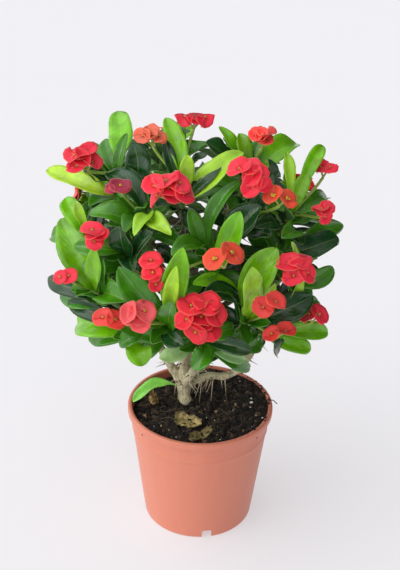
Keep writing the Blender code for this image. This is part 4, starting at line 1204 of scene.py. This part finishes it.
def turned(profile, segments):
    """Spin a section of (radius, height) points about Z and merge it at the axis."""
    bm = bmesh.new()
    verts = [bm.verts.new((r, 0.0, z)) for r, z in profile]
    edges = [bm.edges.new(pair) for pair in zip(verts, verts[1:])]
    bmesh.ops.spin(bm, geom=verts + edges, cent=(0, 0, 0), axis=(0, 0, 1), angle=math.tau,
                   steps=segments, use_merge=True)
    bmesh.ops.remove_doubles(bm, verts=bm.verts, dist=0.005)
    bmesh.ops.recalc_face_normals(bm, faces=bm.faces)
    return bm


def cut_away(piece, cutters):
    """Cut helper objects from a piece and remove them."""
    for cutter in cutters:
        boolean = piece.modifiers.new("notch", "BOOLEAN")
        boolean.operation = "DIFFERENCE"
        boolean.solver = "EXACT"
        boolean.object = cutter
    bake_modifiers(piece)
    for cutter in cutters:
        bpy.data.objects.remove(cutter, do_unlink=True)


def bake_modifiers(piece):
    """Apply a piece's modifiers to its mesh."""
    graph = bpy.context.evaluated_depsgraph_get()
    mesh = bpy.data.meshes.new_from_object(piece.evaluated_get(graph), depsgraph=graph)
    piece.modifiers.clear()
    old = piece.data
    piece.data = mesh
    bpy.data.meshes.remove(old)


def loose_object(name, bm):
    """A helper object made from a bmesh in millimetres."""
    bmesh.ops.scale(bm, vec=(MM, MM, MM), verts=bm.verts)
    mesh = bpy.data.meshes.new(name)
    bm.to_mesh(mesh)
    bm.free()
    obj = bpy.data.objects.new(name, mesh)
    bpy.context.scene.collection.objects.link(obj)
    return obj


class EUPHORBIA_OT_pot(bpy.types.Operator):
    """Turn the nursery pot and cut its drainage notches"""

    bl_idname = "euphorbia.pot"
    bl_label = "Nursery Pot"

    def execute(self, context):
        settings = context.scene.euphorbia_pot
        plastic = moulded_polypropylene(tuple(settings.colour) + (1.0,), linear("#6B4C3A"))
        pot = finish("nursery_pot", turned(pot_profile(), 144), (plastic,), ("pot",))
        cutters = []
        for i in range(NOTCH_COUNT):
            angle = NOTCH_FIRST_ANGLE + i * math.tau / NOTCH_COUNT
            bm = bmesh.new()
            bmesh.ops.create_cube(bm, size=1.0)
            bmesh.ops.scale(bm, vec=(10.0, NOTCH_WIDTH, NOTCH_HEIGHT + 2.0), verts=bm.verts)
            corners = [e for e in bm.edges
                       if abs(e.verts[0].co.x - e.verts[1].co.x) > 1 and e.verts[0].co.z > 0]
            bmesh.ops.bevel(bm, geom=corners, offset=2.2, segments=5, profile=0.5,
                            affect="EDGES", material=-1)
            bmesh.ops.translate(bm, vec=(BASE_RADIUS - 1.0, 0.0, NOTCH_HEIGHT / 2 - 1.0),
                                verts=bm.verts)
            bmesh.ops.rotate(bm, matrix=Matrix.Rotation(angle, 3, "Z"), verts=bm.verts)
            cutters.append(loose_object(f"notch_cutter_{i}", bm))
        for side in (-1, 1):
            bm = bmesh.new()
            bmesh.ops.create_cone(bm, cap_ends=True, segments=16, depth=8.0,
                                  radius1=settings.hole_radius / MM,
                                  radius2=settings.hole_radius / MM)
            bmesh.ops.rotate(bm, matrix=Matrix.Rotation(math.pi / 2, 3, "Y"), verts=bm.verts)
            bmesh.ops.translate(bm, vec=(61.0, 0.0, HANGER_HOLE_HEIGHT), verts=bm.verts)
            turn = Matrix.Rotation(-math.pi / 2 + side * HANGER_HOLE_ANGLE, 3, "Z")
            bmesh.ops.rotate(bm, matrix=turn, verts=bm.verts)
            cutters.append(loose_object(f"hanger_hole_cutter_{side}", bm))
        cut_away(pot, cutters)
        pot.data.set_sharp_from_angle(angle=math.radians(40))
        return {"FINISHED"}


def soil_skin(x, y):
    """The soil's height: heaped to the rim on the right, and cloddy all over."""
    reach = min(1.0, math.hypot(x, y) / SOIL_RADIUS)
    heap = SOIL_LEVEL + 2.5 * (1 - reach * reach) + (SOIL_EDGE_LEVEL - SOIL_LEVEL) * reach ** 3
    lean = 8.5 * max(0.0, (0.75 * x + 0.66 * y) / SOIL_RADIUS) * reach
    place = vec(x, y, 0.0)
    clods = noise.noise(place / 11.0) * 1.8 + noise.noise(place / 5.0 + vec(3, 1, 7)) * 2.0
    hollows = -2.2 * max(0.0, noise.noise(place / 3.2 + vec(9, 4, 2)))
    grains = noise.noise(place / 1.6) * 0.6
    height = heap + lean + (clods + hollows + grains) * (1.0 - 0.5 * reach ** 4)
    return min(height, POT_HEIGHT + 2.0 * (1.0 - reach))


def grain_template():
    """A small ball of few faces, whose copies are squashed into grains."""
    bm = bmesh.new()
    bmesh.ops.create_icosphere(bm, subdivisions=1, radius=1.0)
    mesh = bpy.data.meshes.new("grain")
    bm.to_mesh(mesh)
    bm.free()
    return mesh


class EUPHORBIA_OT_soil(bpy.types.Operator):
    """Heap the potting mix and strew it with crumbs, perlite and fibres"""

    bl_idname = "euphorbia.soil"
    bl_label = "Potting Soil"

    def execute(self, context):
        settings = context.scene.euphorbia_plant
        rng = random.Random(5)
        peat = peat_mix()
        profile = [(SOIL_RADIUS * k / SOIL_RINGS, SOIL_LEVEL) for k in range(SOIL_RINGS + 1)]
        profile += [(SOIL_RADIUS - 1.4, 95.0), (46.5, SOIL_BOTTOM), (0.0, SOIL_BOTTOM)]
        bm = turned(profile, SOIL_SEGMENTS)
        for vert in bm.verts:
            if vert.co.z > SOIL_LEVEL - 1.0:
                vert.co.z = soil_skin(vert.co.x, vert.co.y)
        finish("potting_soil", bm, (peat,), ("soil",))

        template = grain_template()

        def strew(name, count, colours, low, high, material, rim=0.0):
            """Scatter grains over the soil, some of them along the rim."""
            bm = bmesh.new()
            for _ in range(count):
                bm.from_mesh(template)
            layer = tone_layer(bm)
            bm.verts.ensure_lookup_table()
            grain = len(template.vertices)
            for i in range(count):
                on_rim = rng.random() < rim
                angle = rng.gauss(0.25, 0.60) if on_rim else rng.uniform(0, math.tau)
                reach = (rng.uniform(59.0, 63.0) if on_rim
                         else (SOIL_RADIUS - 1.0) * math.sqrt(rng.random()))
                x, y = reach * math.cos(angle), reach * math.sin(angle)
                size = low + (high - low) * rng.random() ** 2.2
                if on_rim:
                    size *= 0.4
                z = POT_HEIGHT + size * 0.3 if on_rim and reach > 61 else soil_skin(x, y)
                squash = vec(rng.uniform(0.6, 1.5), rng.uniform(0.6, 1.1), rng.uniform(0.4, 0.9))
                turn = Matrix.Rotation(rng.uniform(0, math.tau), 3, "Z")
                turn = turn @ Matrix.Rotation(rng.uniform(-0.7, 0.7), 3, "X")
                shade = rng.uniform(0.6, 1.4)
                tone = [min(1.0, c * shade) for c in linear(rng.choice(colours))[:3]] + [1.0]
                for vert in bm.verts[i * grain:(i + 1) * grain]:
                    lumpy = vert.co * (size * rng.uniform(0.7, 1.2))
                    vert.co = turn @ vec(*(a * b for a, b in zip(lumpy, squash))) + vec(x, y, z)
                    vert[layer] = tone
            finish(name, bm, (material,), (), smooth=False)

        strew("soil_crumbs", settings.crumb_count,
              ("#17120F", "#241B16", "#33281F", "#4A3B2E", "#1B1613"), 0.5, 3.8,
              toned("peat_crumb", 0.95, grain=700.0), rim=0.04)
        strew("bark_chips", settings.chip_count, ("#6B523B", "#8A7152", "#A58E66", "#4B3928"),
              0.7, 2.6, toned("bark_chip", 0.85, grain=500.0), rim=0.06)
        strew("perlite_grains", settings.perlite_count, ("#F2EEE6", "#E2DCCF"), 0.5, 2.3,
              toned("expanded_perlite", 0.9, grain=900.0), rim=0.04)
        bm = bmesh.new()
        for i in range(settings.fibre_count):
            angle = rng.uniform(0, math.tau)
            reach = 54.0 * math.sqrt(rng.random())
            start = vec(reach * math.cos(angle), reach * math.sin(angle), 0)
            heading = rng.uniform(0, math.tau)
            length = rng.uniform(6, 26)
            route = []
            for k in range(7):
                turn = heading + math.sin(k * 0.9 + i) * 0.5
                start = start + vec(math.cos(turn), math.sin(turn), 0) * (length / 6)
                if start.xy.length > FIBRE_REACH:
                    start = start * (FIBRE_REACH / start.xy.length)
                    start.z = 0
                arch = math.sin(math.pi * k / 6) * rng.uniform(0.5, 3.0)
                route.append(vec(start.x, start.y, soil_skin(start.x, start.y) + 0.3 + arch))
            shade = rng.uniform(0.4, 1.2)
            colour = [c * shade for c in linear("#6B5A47")[:3]] + [1.0]
            add_tube(bm, route, [rng.uniform(0.14, 0.34)] * 7, 4, colour)
        add_tube(bm, smooth_route(STRAY_TWIG, 9), [0.45] * 9, 5, linear("#3A2C20"))
        finish("soil_fibres", bm, (toned("root_fibre", 0.85),), ())
        return {"FINISHED"}


def spine(bm, foot, heading, length, colour):
    """A slender thorn that widens at its foot."""
    route = [foot, foot + heading * length * 0.25, foot + heading * length]
    add_tube(bm, route, [0.85, 0.42, 0.08], 5, colour)


def dressed_with_spines(bm, route, radius, rng, spacing, colours, longest):
    """Pairs of thorns along a stem, in a spiral."""
    turn = rng.uniform(0, math.tau)
    travelled = 0.0
    for a, b in zip(route, route[1:]):
        travelled += (b - a).length
        if travelled < spacing:
            continue
        travelled = 0.0
        turn += GOLDEN_ANGLE
        ahead = (b - a).normalized()
        side = ahead.orthogonal().normalized()
        other = ahead.cross(side)
        for wing in (-0.35, 0.35):
            heading = side * math.cos(turn + wing) + other * math.sin(turn + wing)
            foot = a + heading * (radius * 0.8)
            spine(bm, foot, (heading + ahead * rng.uniform(-0.2, 0.4)).normalized(),
                  rng.uniform(0.5, 1.0) * longest, linear(rng.choice(colours)))


class EUPHORBIA_OT_wood(bpy.types.Operator):
    """Grow the trunk, limbs and twigs as one skin, with spines"""

    bl_idname = "euphorbia.wood"
    bl_label = "Trunk and Limbs"

    def execute(self, context):
        axes = plant_layout()[0]
        rng = random.Random(8)
        bm = bmesh.new()
        trunk = [TRUNK_FOOT.lerp(TRUNK_HEAD, k / 12) for k in range(13)]
        gnarl = [1.05, 1.02, 1.0, 1.0, 1.0, 1.02, 0.95, 0.88, 0.90, 1.0, 1.05, 0.95, 0.8]
        add_tube(bm, trunk, [TRUNK_RADIUS * g for g in gnarl], 14)
        made = bmesh.ops.create_icosphere(bm, subdivisions=3, radius=KNOB_RADIUS)
        bmesh.ops.translate(bm, vec=KNOB_PLACE, verts=made["verts"])
        limbs = []
        for knots in LIMBS:
            route = limb_route(knots, 26)
            limbs.append(route)
            radii = [LIMB_RADIUS * (0.88 - 0.25 * i / 25) * (1 + 0.12 * math.sin(i * 1.9))
                     for i in range(26)]
            add_tube(bm, route, radii, 10)
        for foot, away in axes.values():
            route = twig_route(foot, away, 9)
            limbs.append(route)
            add_tube(bm, route, [TWIG_RADIUS * (1 - 0.015 * i) for i in range(9)], 8)
        wood = finish("trunk_and_limb_skin", bm, (euphorbia_bark(),), ("trunk_and_limbs",))
        skin = wood.modifiers.new("grow_together", "REMESH")
        skin.mode = "VOXEL"
        skin.voxel_size = VOXEL * MM
        bake_modifiers(wood)
        bm = bmesh.new()
        bm.from_mesh(wood.data)
        for vert in bm.verts:
            place = vert.co / MM
            swell = noise.noise(place / 7.0) * 0.5 + noise.noise(place / 2.5) * 0.3
            vert.co += vert.normal * (swell * MM)
        bm.to_mesh(wood.data)
        bm.free()
        wood.data.shade_smooth()
        bm = bmesh.new()
        for i, route in enumerate(limbs):
            radius = LIMB_RADIUS if i < len(LIMBS) else TWIG_RADIUS
            dense = smooth_route(route, 60)
            dressed_with_spines(bm, dense, radius, rng, 9.5, ("#CFC4A8", "#A39578", "#5D4B3C"),
                                11.0)
        for i in range(HANGING_SPINES):
            near = limbs[1][3 + i % 9] if i % 3 else limbs[0][2 + i % 7]
            drop = vec(rng.uniform(-0.5, 0.5), rng.uniform(-0.6, 0.3), -1.0).normalized()
            spine(bm, near + drop * (LIMB_RADIUS * 0.6), drop, rng.uniform(9.0, 21.0),
                  linear(rng.choice(("#E4DAC0", "#C9B795", "#D8BFA0"))))
        finish("limb_spines", bm, (toned("dry_spine", 0.6),), ())
        return {"FINISHED"}


class EUPHORBIA_OT_shoots(bpy.types.Operator):
    """Grow the green stems and their leaves"""

    bl_idname = "euphorbia.shoots"
    bl_label = "Leafy Shoots"

    def execute(self, context):
        axes, _, stalks, grown, _ = plant_layout()
        rng = random.Random(23)
        spine_matter = toned("black_spine", 0.45)
        for name, (foot, away) in axes.items():
            bm = bmesh.new()
            route = [foot + away * (SHOOT_LENGTH * k / 8) for k in range(9)]
            radii = [SHOOT_RADIUS * (1 - 0.05 * k) for k in range(9)]
            add_tube(bm, route, radii, 10, linear("#7C9A4A"), 2)
            for stalk in stalks[name]:
                add_tube(bm, stalk, [PEDUNCLE_RADIUS] * len(stalk), 8, linear("#9BB84E"), 2)
            for leaf in grown[name]:
                add_leaf(bm, leaf, rng)
            finish("leafy_" + name, bm, leaf_materials(), (name,))
        bm = bmesh.new()
        for foot, away in axes.values():
            route = [foot + away * (SHOOT_LENGTH * 0.8 * k / 20) for k in range(21)]
            dressed_with_spines(bm, route, SHOOT_RADIUS, rng, 6.5, ("#1D1613", "#3A2A20"), 10.0)
        finish("shoot_spines", bm, (spine_matter,), ())
        return {"FINISHED"}


class EUPHORBIA_OT_inner_leaves(bpy.types.Operator):
    """Add the older leaves inside the crown"""

    bl_idname = "euphorbia.inner_leaves"
    bl_label = "Inner Leaves"

    def execute(self, context):
        inner = plant_layout()[4]
        rng = random.Random(31)
        bm = bmesh.new()
        for leaf in inner:
            add_leaf(bm, leaf, rng)
        finish("inner_leaves", bm, leaf_materials(), ())
        return {"FINISHED"}


def add_bract(bm, place, look, side, radius, tone, rng):
    """One kidney-shaped bract, cupped and waved, with a small notch in its rim."""
    tilt = rng.uniform(-0.35, 0.50)
    look, side = (look * math.cos(tilt) - side * math.sin(tilt),
                  side * math.cos(tilt) + look * math.sin(tilt))
    other = look.cross(side)
    cup = rng.uniform(-0.05, 0.30)
    wave = rng.uniform(0.07, 0.18) * radius
    phase = rng.uniform(0, math.tau)
    point = rng.uniform(-0.10, 0.10)

    def shape(across, out):
        angle = across * BRACT_HALF_ANGLE
        notch = 1.0 - 0.10 * math.exp(-(across / 0.12) ** 2) * out
        lobe = 1.0 + point * math.cos(angle * 2.0)
        reach = radius * (0.10 + 0.90 * out) * notch * lobe
        flat = side * math.cos(angle) + other * math.sin(angle) * 1.08
        rise = cup * radius * out * out + wave * math.sin(phase + across * 4.6) * out * out
        return place + flat * reach + look * rise

    shade = rng.uniform(0.82, 1.15)
    colour = [min(1.0, c * shade) for c in linear(BRACT_TONES[tone])[:3]] + [1.0]
    add_sheet(bm, BRACT_COLUMNS, BRACT_ROWS, 1.0, shape, colour, look, BRACT_THICKNESS)


def add_cyathium(bm, place, look, side, size, rng):
    """The true flower between two bracts: a small cup, five glands and yellow stamens."""
    green = linear("#9FA53A")
    yellow = linear("#F4C81E")
    add_tube(bm, [place - look * 0.6, place + look * size], [0.7 * size, size], 7, green, 1)
    other = look.cross(side)
    for k in range(5):
        angle = k * math.tau / 5
        spot = (place + (side * math.cos(angle) + other * math.sin(angle)) * 0.9 * size
                + look * size)
        made = bmesh.ops.create_icosphere(bm, subdivisions=1, radius=0.42 * size)
        bmesh.ops.translate(bm, vec=spot, verts=made["verts"])
        paint(bm, made["verts"], yellow if rng.random() < 0.6 else linear("#D9482B"))
        for face in {f for v in made["verts"] for f in v.link_faces}:
            face.material_index = 1


class EUPHORBIA_OT_flowers(bpy.types.Operator):
    """Set the flower heads on their stalks"""

    bl_idname = "euphorbia.flowers"
    bl_label = "Flower Heads"

    def execute(self, context):
        heads = plant_layout()[1]
        rng = random.Random(41)
        for head in heads:
            bm = bmesh.new()
            for place, look, radius in head.pairs:
                look = (look + vec(*(rng.uniform(-0.22, 0.22) for _ in range(3)))).normalized()
                start = head.base
                bend = head.base.lerp(place, 0.6) - look * 1.0
                route = [bezier((start, bend, place - look * 0.8), k / 5) for k in range(6)]
                add_tube(bm, route, [STALKLET_RADIUS] * 6, 6, linear("#A8B454"), 1)
                side = look.orthogonal().normalized()
                turn = Matrix.Rotation(rng.uniform(0, math.pi), 3, look)
                side = turn @ side
                radius *= BRACT_SPREAD
                add_bract(bm, place, look, side, radius, head.tone, rng)
                add_bract(bm, place + look * 0.5, look, -side, radius, head.tone, rng)
                add_cyathium(bm, place + look * 0.7, look, side,
                             1.5 if head.tone == "orange" else 0.8, rng)
            finish("bracts_of_" + head.name, bm, flower_materials(), (head.name,))
        return {"FINISHED"}


class EUPHORBIA_OT_fallen(bpy.types.Operator):
    """Lay the dried leaves on the soil and grow the basal sprout"""

    bl_idname = "euphorbia.fallen"
    bl_label = "Dried Leaves and Sprout"

    def execute(self, context):
        rng = random.Random(3)
        husk = toned("dried_leaf_skin", 0.75, 0.3, 160.0, 0.6)
        for name, heading, length, half, rise, colour in DRIED_LEAVES:
            low, high = (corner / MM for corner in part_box(name))
            middle = (low + high) / 2
            bm = bmesh.new()
            tone_layer(bm)
            worn = bm.verts.layers.float.new("worn")
            bmesh.ops.create_grid(bm, x_segments=30, y_segments=20, size=0.5)
            for vert in bm.verts:
                u, v = vert.co.x * 2, vert.co.y * 2
                width = half * math.sqrt(max(0.02, 1 - u * u * 0.97)) * (1 - 0.30 * u)
                roll = 1.5 + 0.5 * noise.noise(vec(u * 1.7, 0, middle.x))
                ragged = 1 + 0.12 * noise.noise(vec(u * 6, v * 2, middle.y))
                crinkle = (1.5 * noise.noise(vec(u * 4, v * 3.5, middle.x))
                           + 0.8 * noise.noise(vec(u * 9, v * 8, middle.y))
                           + 0.2 * math.sin(v * 17 + 3 * u))
                arch = rise * 0.45 * (u * u + 0.25 * math.sin(4 * u + middle.y)) + 1.0
                side_rise = rise * (1.0 if v > 0 else 0.3) * (1 - math.cos(roll * v)) * abs(v)
                vert.co = vec(u * length / 2 * ragged, width * math.sin(roll * v),
                              max(0.5, arch + side_rise + crinkle))
                vert[worn] = 1.0 - 0.5 * abs(v) ** 6
            made = bmesh.ops.extrude_face_region(bm, geom=bm.faces[:], use_keep_orig=True)
            raised = [g for g in made["geom"] if isinstance(g, bmesh.types.BMVert)]
            bmesh.ops.translate(bm, vec=(0, 0, 0.22), verts=raised)
            bmesh.ops.recalc_face_normals(bm, faces=bm.faces)
            bmesh.ops.rotate(bm, matrix=Matrix.Rotation(heading, 3, "Z"), verts=bm.verts)
            bmesh.ops.translate(bm, vec=(middle.x, middle.y, low.z), verts=bm.verts)
            for vert in bm.verts:
                pale = (0.9 + 1.0 * noise.noise(vert.co / 2.2)) * vert[worn]
                paint(bm, [vert], [c * pale for c in linear(colour)[:3]] + [1.0])
            finish("curled_" + name, bm, (husk,), (name,))
        sprout = Leaf(SPROUT_ROOT, SPROUT_BASE, SPROUT_TIP, SPROUT_FACE, SPROUT_WIDTH, "s")
        bm = bmesh.new()
        add_leaf(bm, sprout, rng)
        finish("basal_sprout_leaf", bm, leaf_materials(), ("basal_sprout",))
        return {"FINISHED"}


class EUPHORBIA_OT_stage(bpy.types.Operator):
    """Set the floor, the soft lights and the camera"""

    bl_idname = "euphorbia.stage"
    bl_label = "Stage"

    def execute(self, context):
        settings = context.scene.euphorbia_stage
        material, tree, shader, place = new_material("opal_light_table")
        shade = add_node(tree, "TexNoise", {"Vector": place, "Scale": 3.0, "Detail": 1.0})
        low = tuple(c * 0.98 for c in settings.floor_colour) + (1.0,)
        tint = add_node(tree, "Mix", {0: shade.outputs["Fac"], 6: low,
                                      7: tuple(settings.floor_colour) + (1.0,)},
                        data_type="RGBA")
        fill(tree, shader, {"Base Color": tint.outputs[2], "Roughness": 0.9,
                            "Specular IOR Level": 0.0, "Emission Color": (1.0, 0.98, 1.01, 1.0),
                            "Emission Strength": settings.table_glow})
        bm = bmesh.new()
        bmesh.ops.create_grid(bm, x_segments=1, y_segments=1, size=FLOOR_HALF_WIDTH)
        mesh = bpy.data.meshes.new("studio_floor")
        bm.to_mesh(mesh)
        bm.free()
        mesh.materials.append(material)
        floor = bpy.data.objects.new("studio_floor", mesh)
        floor.location.z = -0.0005
        context.scene.collection.objects.link(floor)

        context.scene.view_settings.view_transform = "Standard"
        world = bpy.data.worlds.new("window_lit_white_room")
        world.use_nodes = True
        tree = world.node_tree
        background = tree.nodes["Background"]
        view = add_node(tree, "TexCoord").outputs["Generated"]
        toward = add_node(tree, "VectorMath", {0: view, 1: tuple(WINDOW_SIDE.normalized())},
                          operation="DOT_PRODUCT")
        glow = add_node(tree, "MapRange", {"Value": toward.outputs["Value"], "From Min": -0.6,
                                           "From Max": 1.0, "To Min": settings.shade_level,
                                           "To Max": settings.window_level},
                        interpolation_type="SMOOTHSTEP")
        background.inputs["Color"].default_value = (0.97, 0.98, 1.0, 1.0)
        tree.links.new(glow.outputs["Result"], background.inputs["Strength"])
        seen = add_node(tree, "Background", {"Color": SEEN_WALL})
        choice = add_node(tree, "MixShader", {
            0: add_node(tree, "LightPath").outputs["Is Camera Ray"],
            1: background.outputs["Background"], 2: seen.outputs["Background"]})
        tree.links.new(choice.outputs["Shader"], tree.nodes["World Output"].inputs["Surface"])
        context.scene.world = world
        sun = bpy.data.lights.new("window_light", "SUN")
        sun.energy = settings.key_power
        sun.angle = math.radians(KEY_SOFTNESS)
        lamp = bpy.data.objects.new("window_light", sun)
        lamp.rotation_euler = (-WINDOW_SIDE).to_track_quat("-Z", "Y").to_euler()
        context.scene.collection.objects.link(lamp)

        lens = bpy.data.cameras.new("front_camera")
        lens.lens = LENS_MM
        lens.sensor_width = SENSOR_MM
        lens.clip_start = 0.01
        camera = bpy.data.objects.new("front_camera", lens)
        axes = Matrix((SHEET_RIGHT, SHEET_UP, -SIGHT)).transposed()
        camera.matrix_world = Matrix.Translation(VIEWPOINT * MM) @ axes.to_4x4()
        context.scene.collection.objects.link(camera)
        context.scene.camera = camera
        return {"FINISHED"}


class EUPHORBIA_PT_panel(bpy.types.Panel):
    """Lists the pieces of the plant"""

    bl_idname = "EUPHORBIA_PT_panel"
    bl_label = "Potted Euphorbia"
    bl_space_type = "VIEW_3D"
    bl_region_type = "UI"
    bl_category = "Euphorbia"

    def draw(self, context):
        layout = self.layout
        for group in ("euphorbia_pot", "euphorbia_plant", "euphorbia_stage"):
            settings = getattr(context.scene, group)
            for name in settings.__annotations__:
                layout.prop(settings, name)
        for operator in OPERATORS:
            layout.operator(operator.bl_idname)


OPERATORS = (EUPHORBIA_OT_pot, EUPHORBIA_OT_soil, EUPHORBIA_OT_wood, EUPHORBIA_OT_flowers,
             EUPHORBIA_OT_shoots, EUPHORBIA_OT_inner_leaves, EUPHORBIA_OT_fallen,
             EUPHORBIA_OT_stage)
GROUPS = {"euphorbia_pot": EuphorbiaPotSettings, "euphorbia_plant": EuphorbiaPlantSettings,
          "euphorbia_stage": EuphorbiaStageSettings}


def register():
    """Register the property groups, operators and panel."""
    for name, group in GROUPS.items():
        bpy.utils.register_class(group)
        setattr(bpy.types.Scene, name, PointerProperty(type=group))
    for item in OPERATORS + (EUPHORBIA_PT_panel,):
        bpy.utils.register_class(item)


def unregister():
    """Undo register."""
    for item in (EUPHORBIA_PT_panel,) + OPERATORS[::-1]:
        bpy.utils.unregister_class(item)
    for name, group in GROUPS.items():
        delattr(bpy.types.Scene, name)
        bpy.utils.unregister_class(group)


def main():
    """Make every piece."""
    register()
    for operator in OPERATORS:
        group, name = operator.bl_idname.split(".")
        getattr(getattr(bpy.ops, group), name)()


if __name__ == "__main__":
    main()
